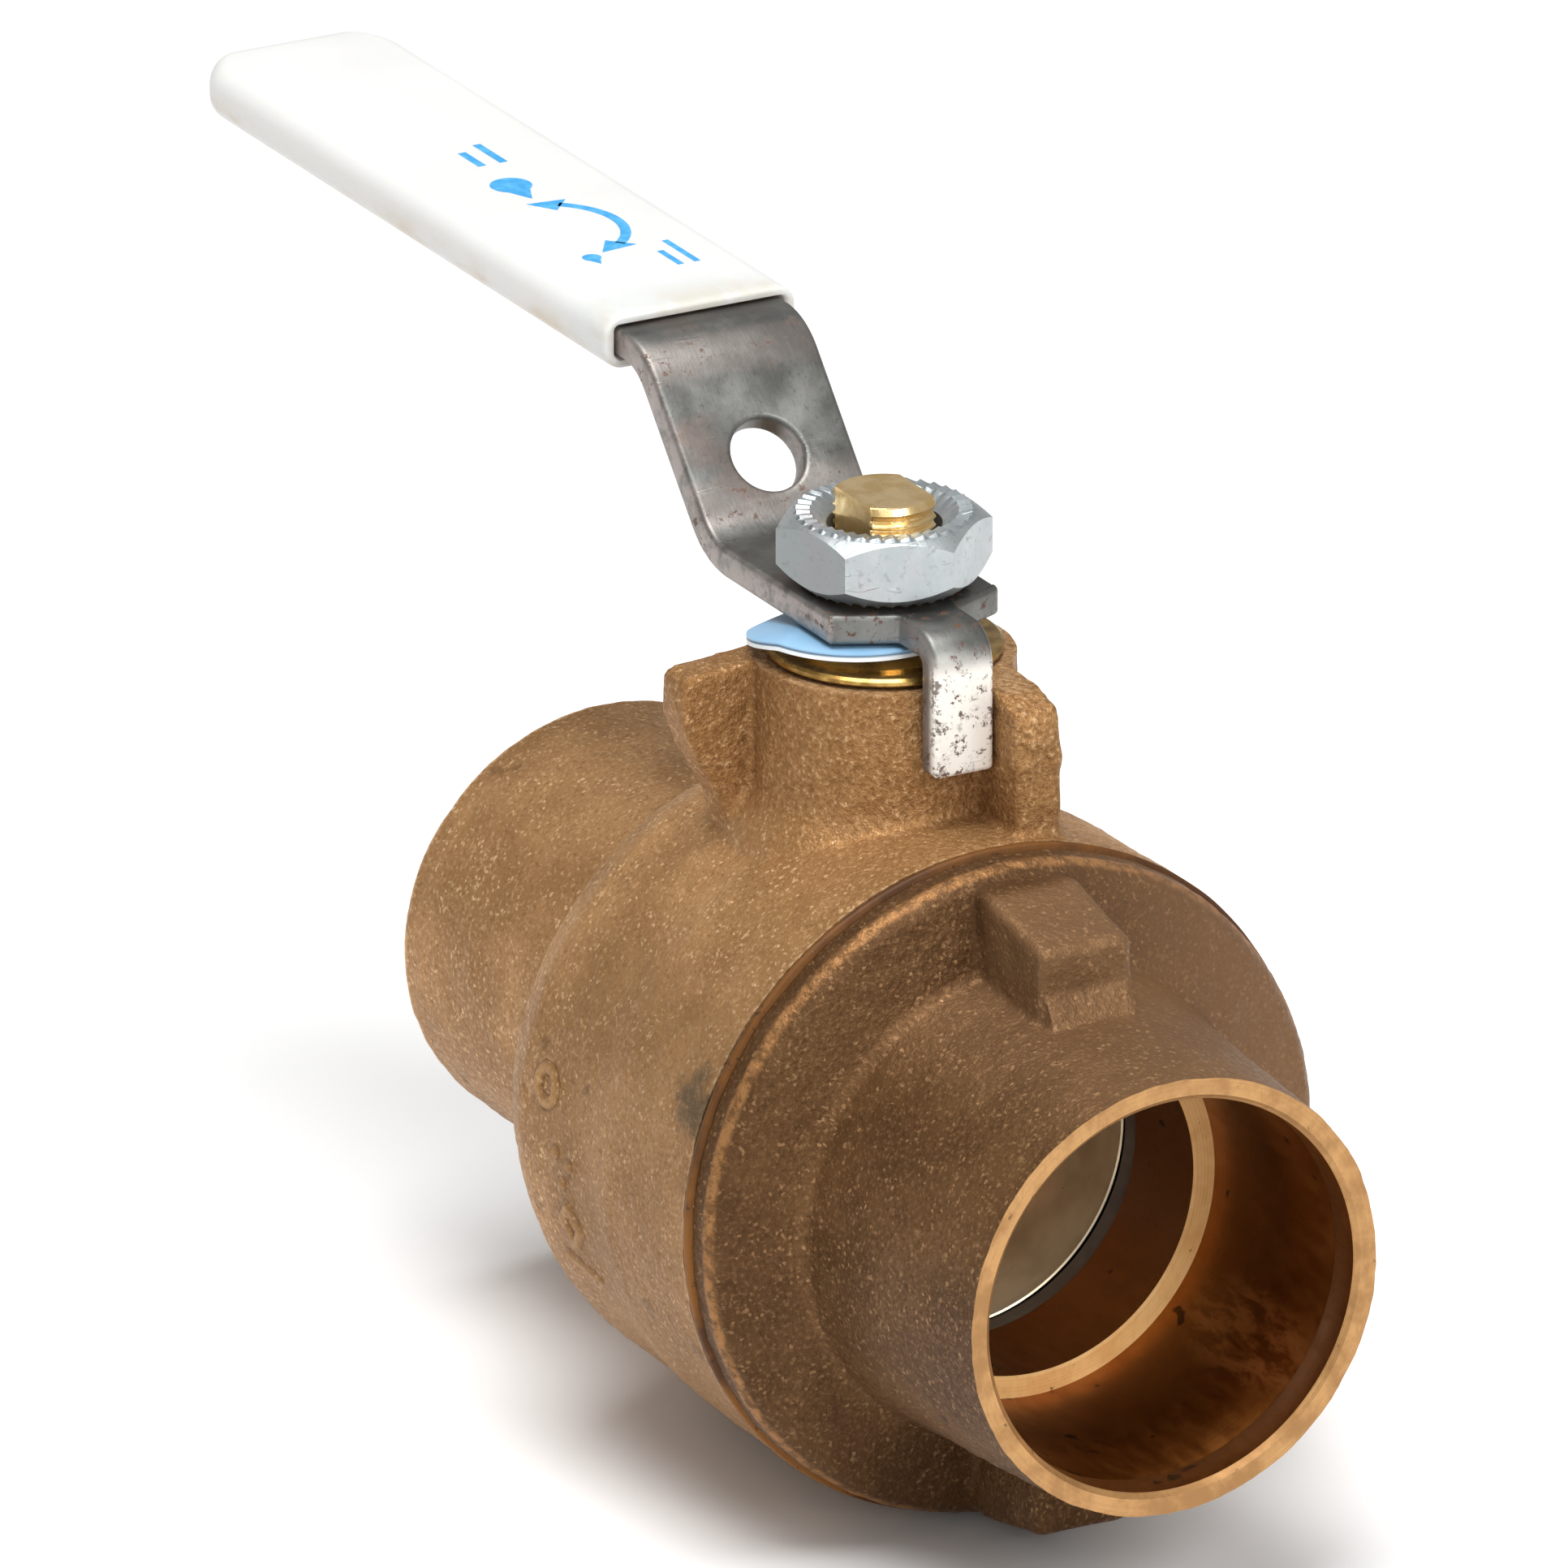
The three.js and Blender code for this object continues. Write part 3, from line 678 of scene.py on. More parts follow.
def amber_seal():
    look = Look("amber_seal", 0.5, 0.0, Specular_IOR_Level=0.25)
    tone = look.noise(14.0, 4, 0.6)
    color = look.mix(look.ramp(tone, 0.42, 0.58), (0.085, 0.029, 0.005), (0.220, 0.083, 0.012))
    color = look.mix(look.ramp(look.axes["Z"], -0.004, 0.012, 0.0, 0.5), color, (0.060, 0.022, 0.005))
    color = look.mix(look.ramp(look.noise(1.4, 3, 0.7), 0.58, 0.68, 0.0, 0.8), color, (0.030, 0.014, 0.006))
    fleck = look.ramp(look.noise(0.9, 3, 0.7), 0.70, 0.74, 0.0, 0.8)
    color = look.mix(fleck, color, (0.70, 0.62, 0.45))
    return look.done(color, None, None, look.bump(look.noise(0.8, 3, 0.6), 0.06))


def seat_polymer():
    look = Look("seat_polymer", 0.40, 0.0)
    tone = look.noise(6.0, 4, 0.6)
    color = look.mix(look.ramp(tone, 0.35, 0.7), (0.120, 0.098, 0.074), (0.190, 0.160, 0.125))
    return look.done(color, look.ramp(tone, 0.3, 0.7, 0.34, 0.48), None, look.bump(look.noise(0.6, 2), 0.01))


def paint(obj, *materials):
    obj.data.materials.clear()
    for material in materials:
        obj.data.materials.append(material)
    return obj


def paint_regions(obj, rules):
    """Gives each face the first rule that its centre and normal (in mm) meet; rule 0 is the rest."""
    for polygon in obj.data.polygons:
        centre = polygon.center / MM
        normal = polygon.normal
        polygon.material_index = 0
        for index, rule in enumerate(rules, start=1):
            if rule(centre, normal):
                polygon.material_index = index
                break
    return obj


# ---------------------------------------------------------------- cast pieces

def radial(point):
    return math.hypot(point.y, point.z)


MARK_HEIGHT = 0.40
MARK_HALF_WIDTH = 0.55
BARREL = 34.2


def cast_marks(place):
    """How far inside one of the generic raised marks on the barrel's left side each point lies, 0 to 1."""
    x = place[:, 0]
    s = BARREL * np.arctan2(place[:, 2], -place[:, 1])
    level = np.exp(-(np.abs(np.hypot(x + 8.8, s - 5.2) - 1.8) / MARK_HALF_WIDTH) ** 4)
    for x0, s0, x1, s1 in ((-6.2, -1.0, -6.2, -1.1), (-3.2, -1.6, -3.2, -1.7), (-5.0, -4.0, -5.0, -4.1),
                           (-4.8, -6.6, -2.8, -8.8), (-2.8, -8.8, -4.8, -11.0), (-4.8, -11.0, -6.8, -8.8),
                           (-6.8, -8.8, -4.8, -6.6), (-8.0, -13.6, -2.2, -14.2)):
        along, rise = x1 - x0, s1 - s0
        t = np.clip(((x - x0) * along + (s - s0) * rise) / (along ** 2 + rise ** 2), 0, 1)
        gap = np.hypot(x - x0 - t * along, s - s0 - t * rise)
        level = np.maximum(level, np.exp(-(gap / MARK_HALF_WIDTH) ** 4))
    outside = (np.hypot(place[:, 1], place[:, 2]) > 31.0) & (np.abs(x) < 22)
    return np.where(outside, level, 0)


def body_casting():
    over = 2.0
    barrel = turned("barrel", fillet([
        (REAR_END - over, 0), (REAR_END - over, CUP_OUTER), (-27.6, CUP_OUTER, 3.0), (-18.4, 32.6, 4.5),
        (-14.0, 34.1, 4.0), (0.5, 34.3, 4.0), (5.5, 34.9, 4.0), (BODY_FACE + over, BODY_RADIUS),
        (BODY_FACE + over, 0)]), "x", 128)
    boss = turned("boss", fillet([
        (27, 0), (27, 17.0), (31.5, 16.2), (35.6, BOSS, 3.0), (BOSS_TOP + over, BOSS), (BOSS_TOP + over, 0)],
        ), "z", 96)
    open_stop = prism("open_stop", [(8, 28), (20.9, 28), (20.9, 46.9), (20.2, 47.9), (15.8, 48.9), (8, 48.9)],
                      "y", 3.7, 8.8)
    closed_stop = prism("closed_stop", [(-20.6, 47.3), (-19.6, 47.9), (-8, 48.9), (-8, 28), (-14.5, 28),
                                        (-16.4, 34.5), (-19.6, 40.0), (-20.7, 43.0)], "x", -8.6, -3.9)
    body = cast_from("body_casting_skin", [barrel, boss, open_stop, closed_stop], 0.42, 5)

    gate_marks = (
        (20.6, 6.0, 44.9, 1.5, 0.75), (20.6, 7.9, 42.6, 1.2, 0.45), (20.4, 4.6, 42.2, 1.1, 0.50),
        (20.8, 6.5, 38.0, 1.6, 0.30), (20.8, 6.2, 33.8, 1.3, 0.35), (17.5, 6.5, 48.6, 1.6, 0.45),
        (-6.2, -20.2, 45.2, 1.3, 0.35), (-6.2, -17.5, 38.2, 1.5, 0.30), (9.6, -9.3, 36.0, 1.3, 0.22))
    nicks = ((-13.0, -33.0, 3.0, 1.6, -0.25), (-14.2, -29.0, 15.2, 0.6, -0.35),
             (-13.4, -28.6, 16.6, 0.6, -0.35), (-12.8, -28.0, 17.9, 0.5, -0.25))

    def lumps(place):
        """Rough gate marks on the stops, nicks in the barrel and its raised marks."""
        return bumps(place, gate_marks + nicks) + MARK_HEIGHT * cast_marks(place)

    roughen(body, [(9.0, 0.16, 1), (2.6, 0.10, 2), (1.1, 0.07, 3)], lumps)
    waterway = turned("waterway", [
        (REAR_END - 6, 0), (REAR_END - 6, 45), (REAR_END, 45), (REAR_END, CUP_BORE + MOUTH_CHAMFER),
        (REAR_END + MOUTH_CHAMFER, CUP_BORE), (-STOP, CUP_BORE), (-STOP, PORT + 0.2), (-STOP + 0.2, PORT),
        (-SEAT_POCKET_END, PORT), (-SEAT_POCKET_END, SEAT_POCKET), (-11.0, SEAT_POCKET), (-11.0, CHAMBER),
        (THREAD_START, CHAMBER), (THREAD_START, THREAD_BORE), (BODY_FACE - 0.8, THREAD_BORE),
        (BODY_FACE, THREAD_BORE + 0.8), (BODY_FACE, 45), (BODY_FACE + 6, 45), (BODY_FACE + 6, 0)], "x", 160)
    passage = turned("passage", [
        (0, 0), (0, 9.0), (30.3, 9.0), (30.3, 5.9), (33.0, 5.9), (33.0, 8.2), (39.5, 8.2), (39.5, 10.2),
        (BOSS_TOP - 0.5, 10.2), (BOSS_TOP, 10.7), (BOSS_TOP, 30), (BOSS_TOP + 6, 30), (BOSS_TOP + 6, 0)],
        "z", 96)
    carve(body, waterway, passage)
    edge_wear(body)
    store(body, "marks", cast_marks(point_rows(body.data, "co") / MM))
    shade(body, 40)
    paint(body, body_bronze(), MACHINED, CUP_INSIDE)
    paint_regions(body, [
        lambda c, n: abs(n.x) > 0.5 and c.x < REAR_END + 1,
        lambda c, n: c.x < -SEAT_POCKET_END and radial(c) < CUP_BORE + 0.05 and abs(n.x) < 0.5,
        ])
    return fit(body, BODY, "cast_bronze", "body_casting")


def end_retainer():
    over = 2.0
    shell = turned("shell", fillet([
        (FLANGE_BACK - over, 0), (FLANGE_BACK - over, FLANGE), (26.2, FLANGE - 0.1, 0.9), (27.6, 33.7, 1.0),
        (29.9, 25.3, 1.3), (36.0, 24.6, 6.0), (FRONT_END + over, CUP_OUTER), (FRONT_END + over, 0)]), "x", 128)
    lug = [(27, 18), (27, 33.5), (31.0, 33.4), (41.6, 31.4), (41.9, 30.6), (41.9, 18)]
    foot = [(27, 18), (27, 28), (41.0, 28.0), (42.4, 26.0), (43.6, 24.2), (43.6, 18)]
    parts = [shell]
    for side in (1, -1):
        parts.append(soften(prism("lug", [(x, side * z) for x, z in lug], "y", -5.3, 5.3), 0.9, 3))
        parts.append(prism("lug_foot", [(x, side * z) for x, z in foot], "y", -4.8, 4.8))
    retainer = cast_from("end_retainer_skin", parts, 0.40, 3)

    pits = (
        (29.3, -28.4, -9.5, 1.2, -0.55), (29.2, -29.6, -12.6, 0.8, -0.35), (29.1, -29.0, -4.2, 1.0, 0.30),
        (29.4, -27.3, -15.0, 1.0, -0.30), (41.5, 2.5, 32.2, 1.4, 0.25), (30.4, 4.6, 33.0, 1.5, 0.35),
        (36.0, -5.0, 29.0, 1.4, -0.30), (29.6, 12.0, 28.0, 1.2, -0.25), (29.2, 24.0, 16.0, 1.4, 0.25))
    roughen(retainer, [(8.0, 0.14, 4), (2.4, 0.09, 5), (1.0, 0.06, 6)],
            lambda place: bumps(place, pits))
    trim = turned("trim", [
        (FLANGE_BACK - 8, 0), (FLANGE_BACK - 8, 45), (FLANGE_BACK, 45), (FLANGE_BACK, FLANGE - 0.5),
        (FLANGE_BACK, 29.5), (FLANGE_BACK, 0)], "x", 160)
    cup = turned("cup", [
        (FLANGE_BACK - 9, 0), (FLANGE_BACK - 9, PORT), (STOP - 0.25, PORT), (STOP, PORT + 0.25),
        (STOP, CUP_BORE), (FRONT_END - 4.45, CUP_BORE), (FRONT_END - 4.4, CUP_BORE + 0.04),
        (FRONT_END - 4.3, CUP_BORE + 0.04), (FRONT_END - 4.25, CUP_BORE),
        (FRONT_END - MOUTH_CHAMFER, CUP_BORE), (FRONT_END, CUP_BORE + MOUTH_CHAMFER),
        (FRONT_END, 45), (FRONT_END + 6, 45), (FRONT_END + 6, 0)], "x", 160)
    carve(retainer, trim, cup)
    edge_wear(retainer)
    shade(retainer, 40)
    paint(retainer, retainer_bronze(), MACHINED, PAINTED_LIT_LEDGE, CUP_INSIDE, PORT_COPPER)
    paint_regions(retainer, [
        lambda c, n: c.x > FRONT_END - MOUTH_CHAMFER and radial(c) < CUP_OUTER + 0.4 and n.x > 0.3,
        lambda c, n: abs(c.x - STOP) < 0.3 and radial(c) < CUP_BORE + 0.1 and n.x > 0.3,
        lambda c, n: radial(c) < CUP_BORE + 0.15 and c.x > STOP,
        lambda c, n: radial(c) < CUP_BORE,
        ])
    return fit(retainer, BODY, "dark_bronze")


def retainer_spigot():
    """The part of the retainer that screws into the body, seen only when the valve is cut open."""
    pitch = 1.5
    threads = []
    x = 9.6
    while x < FLANGE_BACK - 1.5:
        threads += [(x, 28.1), (x + pitch / 2, 28.7)]
        x += pitch
    spigot = turned("end_retainer_spigot", [
        (19.1, PORT), (19.1, 19.3), (SEAT_POCKET_END, 19.3), (SEAT_POCKET_END, SEAT_POCKET),
        (9.4, SEAT_POCKET), (9.0, SEAT_POCKET + 0.4),
        (9.0, 27.6), *threads, (FLANGE_BACK - 0.6, 28.0), (FLANGE_BACK + 0.05, 28.0),
        (FLANGE_BACK + 0.05, PORT)], "x", 128, 40)
    paint(spigot, PORT_COPPER)
    return fit(spigot, BODY, "dark_bronze", "end_retainer")


def body_seal():
    count = 200
    angle = np.linspace(0, 2 * np.pi, count, endpoint=False)
    wobble = np.array([noise.noise(Vector((2.2 * math.cos(a), 2.2 * math.sin(a), 0.3))) for a in angle])
    squeeze = np.array([noise.noise(Vector((9 * math.cos(a), 9 * math.sin(a), 4.3))) for a in angle])
    rim = SEAL_OUTER - 0.55 + 0.10 * wobble + 0.06 * squeeze
    middle = (SEAL_BACK + SEAL_FRONT) / 2
    seal = turned("body_seal_bead", [
        (SEAL_BACK, 30.0), (SEAL_BACK, rim - 0.22), (SEAL_BACK + 0.12, rim - 0.06), (middle, rim),
        (SEAL_FRONT - 0.12, rim - 0.06), (SEAL_FRONT, rim - 0.22), (SEAL_FRONT, 30.0)], "x", count, 50)
    paint(seal, amber_seal())
    return fit(seal, BODY, "amber_seal", "body_seal_ring")


# ---------------------------------------------------------------- ball and seats

def seat_rings():
    sphere = BALL + 0.35
    inner = PORT + 0.2
    low = math.asin(inner / sphere)
    high = math.asin(0.93)
    face = [(sphere * math.cos(low + (high - low) * k / 10), sphere * math.sin(low + (high - low) * k / 10))
            for k in range(11)]
    outline = face + [(face[-1][0], 23.7), (face[-1][0] + 0.3, 24.0), (20.2, 24.0), (20.2, 19.4),
                      (18.9, 19.4), (18.9, inner)]
    for side, name, node in ((1, "seat_front", "seat_ring_retainer"), (-1, "seat_rear", "seat_ring_body")):
        ring = turned(name, [(side * x, r) for x, r in outline], "x", 160)
        paint(ring, SEAT)
        fit(ring, BODY, "seat_polymer", node)


def ball():
    edge = 0.45
    port_end = math.sqrt(BALL ** 2 - (PORT + edge) ** 2)
    limit = math.atan2(PORT + edge, port_end)
    arc = [(BALL * math.cos(limit + (math.pi - 2 * limit) * k / 48),
            BALL * math.sin(limit + (math.pi - 2 * limit) * k / 48)) for k in range(49)]
    lip = port_end - 0.1
    shell = turned("ball_shell", [(lip - 0.5, PORT), (lip, PORT + 0.25), *arc, (-lip, PORT + 0.25),
                                  (-lip + 0.5, PORT)], "x", 160)
    slot = prism("slot", [(-3.3, 20.6), (3.3, 20.6), (3.3, 27), (-3.3, 27)], "y", -26, 26)
    carve(shell, slot)
    shade(shell, 30)
    paint(shell, chromed_ball())
    return fit(shell, BALL_SET, "chrome_ball", "ball")


# ---------------------------------------------------------------- stem, gland, nut and tags

def stem():
    count = 192
    angle = np.linspace(0, 2 * np.pi, count, endpoint=False)

    def clipped(radius):
        with np.errstate(divide="ignore"):
            return np.minimum(radius, FLAT_HALF / np.abs(np.sin(angle)).clip(1e-6))

    pitch = 0.95
    stations = [(25.5, 0), (25.5, 8.2), (25.9, 8.6), (28.2, 8.6), (28.5, 8.3), (28.5, STEM), (FLAT_START, STEM),
                (FLAT_START, clipped(STEM))]
    z = 57.0
    root = STEM - 0.38
    while z < STEM_TOP - 1.5:
        stations += [(z, clipped(STEM)), (z + 0.2 * pitch, clipped(STEM)),
                     (z + 0.5 * pitch, clipped(root)), (z + 0.68 * pitch, clipped(root))]
        z += pitch
    crown = STEM - 0.3
    stations += [(STEM_TOP - 0.75, clipped(STEM)), (STEM_TOP - 0.10, clipped(crown)),
                 (STEM_TOP, clipped(crown - 0.2)), (STEM_TOP - 0.03, clipped(1.2)), (STEM_TOP - 0.10, 0.35),
                 (STEM_TOP - 0.10, 0)]
    spindle = turned("stem_spindle", stations, "z", count, 24)
    tongue = prism("tongue", [(-3, -8), (3, -8), (3, 8), (-3, 8)], "z", 20.9, 25.8)
    carve(spindle, tongue, operation="UNION")
    shade(spindle, 24)
    paint(spindle, STEM_BRASS)
    return fit(spindle, LEVER_SET, "brass", "stem")


def packing_gland():
    count = 192
    angle = np.linspace(0, 2 * np.pi, count, endpoint=False)
    hexagon = np.minimum(polygon_radius(angle, 12, 19.6, 0.0), 10.1)
    cone = hexagon - 1.1
    gland = turned("packing_gland_nut", [
        (39.8, 5.9), (39.8, 9.4), (40.3, 9.9), (GLAND_SEAT, 9.9), (GLAND_SEAT, 11.8),
        (GLAND_SEAT + 0.25, 12.05), (GLAND_SEAT + 0.65, 12.05), (GLAND_SEAT + 0.9, 11.7),
        (GLAND_SEAT + 0.9, hexagon),
        (GLAND_TOP - 0.9, hexagon), (GLAND_TOP - 0.45, cone), (GLAND_TOP - 0.45, 6.3), (GLAND_TOP - 0.8, 5.9)],
        "z", count, 28)
    paint(gland, GLAND_BRASS_PAINTED_SHADE)
    return fit(gland, BODY, "brass", "packing_gland")


def lever_nut():
    count = 432
    angle = np.linspace(0, 2 * np.pi, count, endpoint=False) + NUT_TURN
    hexagon = polygon_radius(angle, 6, NUT_FLATS, NUT_TURN)
    inscribed = NUT_FLATS / 2 - 0.25
    drop = (hexagon - inscribed).clip(0) * math.tan(math.radians(36))
    teeth = 36
    phase = np.mod(angle * teeth / (2 * np.pi), 1.0)
    saw = np.where(phase < 0.72, phase / 0.72, (1 - phase) / 0.28)
    tooth = 0.38
    under = (hexagon - 8.6) * math.tan(math.radians(40))
    face = NUT_TOP - tooth
    base = NUT_BOTTOM + tooth
    nut = turned("lever_nut_hexagon", [
        (NUT_BOTTOM + 1.0, 5.85), (base, 6.9), (base - 0.3 * tooth * saw, 7.4), (base - tooth * saw, 8.2),
        (base, 8.55), (base + under, hexagon),
        (face - 0.1 - drop, hexagon), (face - 0.1, inscribed), (face - 0.06, 9.15), (face + tooth * saw, 8.85),
        (face + 0.75 * tooth * saw, 7.5), (face - 0.15, 7.1), (face - 1.2, 5.85)], "z", count, 26)
    nut.data.transform(Matrix.Rotation(NUT_TURN, 4, "Z"))
    edge_wear(nut, 2)
    paint(nut, nut_zinc())
    return fit(nut, LEVER_SET, "nut_zinc", "lever_nut")


def tag_discs():
    """Two loose film tags on the stem, sagging over the edge of the gland on the left."""
    count = 240
    angle = np.linspace(0, 2 * np.pi, count, endpoint=False)
    towards = np.stack([np.cos(angle), np.sin(angle)])
    reach = towards[0] * TAG_CENTRE[0] + towards[1] * TAG_CENTRE[1]
    rim = reach + np.sqrt(reach ** 2 + TAG_RADIUS ** 2 - TAG_CENTRE[0] ** 2 - TAG_CENTRE[1] ** 2)
    with np.errstate(divide="ignore"):
        cut = np.where(towards[0] < -1e-3, TAG_STRAIGHT_EDGE / towards[0], 1e3)
    rim = -np.log(np.exp(-1.6 * rim) + np.exp(-1.6 * np.minimum(cut, 60.0))) / 1.6
    left = math.radians(-145)
    colours = {"tag_disc_lower": ((0.84, 0.87, 0.88), (0.78, 0.82, 0.84)),
               "tag_disc_upper": ((0.235, 0.44, 0.65), (0.28, 0.48, 0.68))}
    for node, (top, under) in colours.items():
        low, high = cad(node, 0, 2), cad(node, 1, 2)
        high += 0.2 if node == "tag_disc_lower" else 0.0
        upper, lower = [], []
        for k in range(13):
            r = 5.9 + (rim - 5.9) * k / 12
            lean = (r * np.cos(angle - left)).clip(0)
            sag = -0.12 - 0.20 * ((lean - 6.0).clip(0)) ** 1.2
            soft = 0.12 if k == 12 else 0.0
            upper.append((high + sag - soft, r))
            lower.append((low + sag + soft, r))
        disc = turned(node + "_film", upper + lower[::-1], "z", count, 50)
        paint(disc, tag_film(node + "_look", top, under))
        fit(disc, LEVER_SET, "tag_film", node)


# ---------------------------------------------------------------- lever and grip

def strip_outline(corners, radii, thickness, steps=12):
    """Side outline of an even strip that follows corners, bent to a radius at each inner one."""
    bends = [(x, z, radius) for (x, z), radius in zip(corners, radii)]
    middle = [Vector(corners[0])]
    for i in range(1, len(bends) - 1):
        three = [bends[i - 1][:2], bends[i], bends[i + 1][:2]]
        middle += [Vector(p) for p in fillet(three, steps)[1:-1]]
    middle.append(Vector(corners[-1]))
    upper, lower = [], []
    for i, point in enumerate(middle):
        along = (middle[min(i + 1, len(middle) - 1)] - middle[max(i - 1, 0)]).normalized()
        side = Vector((-along.y, along.x)) * thickness / 2
        upper.append(tuple(point + side))
        lower.append(tuple(point - side))
    return upper + lower[::-1]


def lever():
    tang_middle = TANG_FRONT - PLATE / 2
    outline = strip_outline(
        [(LEVER_END, GRIP_LEVEL), (RISER_HEAD, GRIP_LEVEL), (RISER_FOOT, PLATE_MIDDLE),
         (tang_middle, PLATE_MIDDLE), (tang_middle, TANG_BOTTOM)],
        [0, 7.0, 8.0, 2.4, 0], PLATE)
    half = PLATE_WIDTH / 2
    strip = prism("lever_plate", outline, "y", -half, half)
    tang = TANG_WIDTH / 2
    plan = prism("plan", fillet([
        (LEVER_END - 1, -half + 4), (LEVER_END + 5, -half - 1), (HEAD_CORNER, -half - 1),
        (HEAD_CORNER, -half, 0.5), (HEAD_FRONT, -tang, 0.8), (TANG_FRONT + 2, -tang), (TANG_FRONT + 2, tang),
        (HEAD_FRONT, tang, 0.8), (HEAD_CORNER + 0.3, half, 0.9), (HEAD_CORNER, half + 1),
        (LEVER_END + 5, half + 1), (LEVER_END - 1, half - 4)], 4), "z", TANG_BOTTOM - 5, GRIP_LEVEL + 10)
    carve(strip, plan, operation="INTERSECT")
    stem_hole = turned("stem_hole", [(50, 0), (50, STEM + 0.35), (58, STEM + 0.35), (58, 0)], "z", 64)
    flat_gap = FLAT_HALF + 0.35
    band = prism("band", [(-9, -flat_gap), (9, -flat_gap), (9, flat_gap), (-9, flat_gap)], "z", 49, 59)
    carve(stem_hole, band, operation="INTERSECT")
    hang_hole = turned("hang_hole", [(-6, 0), (-6, 3.95), (6, 3.95), (6, 0)], "z", 64)
    lean = math.atan2(GRIP_LEVEL - PLATE_MIDDLE, RISER_FOOT - RISER_HEAD)
    hang_hole.data.transform(Matrix.Translation(Vector((-25.3, 0, 60.8)) * MM) @ Matrix.Rotation(lean, 4, "Y"))
    carve(strip, stem_hole, hang_hole)
    soften(strip, 0.6, 3)
    triangles = strip.modifiers.new("triangles", "TRIANGULATE")
    triangles.quad_method = "BEAUTY"
    apply_modifiers(strip)
    shade(strip, 32)
    paint(strip, lever_zinc())
    return fit(strip, LEVER_SET, "lever_steel", "lever")


def section(half_width, half_height, rounding, corner_steps=8):
    """Y-Z points of a rounded rectangle, from the lower right corner round."""
    points = []
    for k, (sy, sz) in enumerate(((1, -1), (1, 1), (-1, 1), (-1, -1))):
        cy, cz = sy * (half_width - rounding), sz * (half_height - rounding)
        for step in range(corner_steps + 1):
            a = math.radians(-90 + 90 * k + 90 * step / corner_steps)
            points.append((cy + rounding * math.cos(a), cz + rounding * math.sin(a)))
    return points


def grip():
    w, h = GRIP_HALF_WIDTH, GRIP_HALF_THICK
    end_round, edge_round = 6.5, 2.3
    stations = []
    for k in range(9):
        d = edge_round * (1 - math.cos(math.pi / 2 * k / 8))
        tall = h - edge_round + math.sqrt(max(0.0, edge_round ** 2 - (edge_round - d) ** 2))
        wide = w - end_round + math.sqrt(max(0.0, end_round ** 2 - (end_round - d) ** 2))
        stations.append((GRIP_END + d, wide, tall, min(edge_round, tall * 0.98)))
    for k in range(1, 9):
        d = edge_round + (end_round - edge_round) * k / 8
        wide = w - end_round + math.sqrt(max(0.0, end_round ** 2 - (end_round - d) ** 2))
        stations.append((GRIP_END + d, wide, h, edge_round))
    length = GRIP_START - GRIP_END - end_round
    for k in range(1, 40):
        stations.append((GRIP_END + end_round + length * k / 40, w, h, edge_round))
    stations += [(GRIP_START - 1.2, w, h, edge_round), (GRIP_START - 0.35, w - 0.05, h - 0.06, 2.2),
                 (GRIP_START - 0.08, w - 0.2, h - 0.22, 2.0), (GRIP_START, w - 0.5, h - 0.5, 1.7),
                 (GRIP_START - 0.05, PLATE_WIDTH / 2 + 0.45, PLATE / 2 + 0.38, 0.8),
                 (GRIP_START - 0.4, PLATE_WIDTH / 2 + 0.2, PLATE / 2 + 0.2, 0.6),
                 (GRIP_START - 8.0, PLATE_WIDTH / 2 + 0.15, PLATE / 2 + 0.15, 0.6),
                 (GRIP_START - 8.0, 2.0, 0.4, 0.3)]
    points = []
    ring = len(section(1, 1, 0.1))
    for x, wide, tall, rounding in stations:
        points += [(x, y, GRIP_LEVEL + z) for y, z in section(wide, tall, rounding)]
    faces = []
    for i in range(len(stations) - 1):
        for k in range(ring):
            n = (k + 1) % ring
            faces.append((i * ring + k, i * ring + n, (i + 1) * ring + n, (i + 1) * ring + k))
    faces.append(tuple(range(ring)))
    faces.append(tuple(range((len(stations) - 1) * ring, len(stations) * ring)))
    sleeve = new_object("grip_sleeve", points, faces, 50)
    paint(sleeve, white_vinyl())
    return fit(sleeve, LEVER_SET, "white_vinyl", "grip")


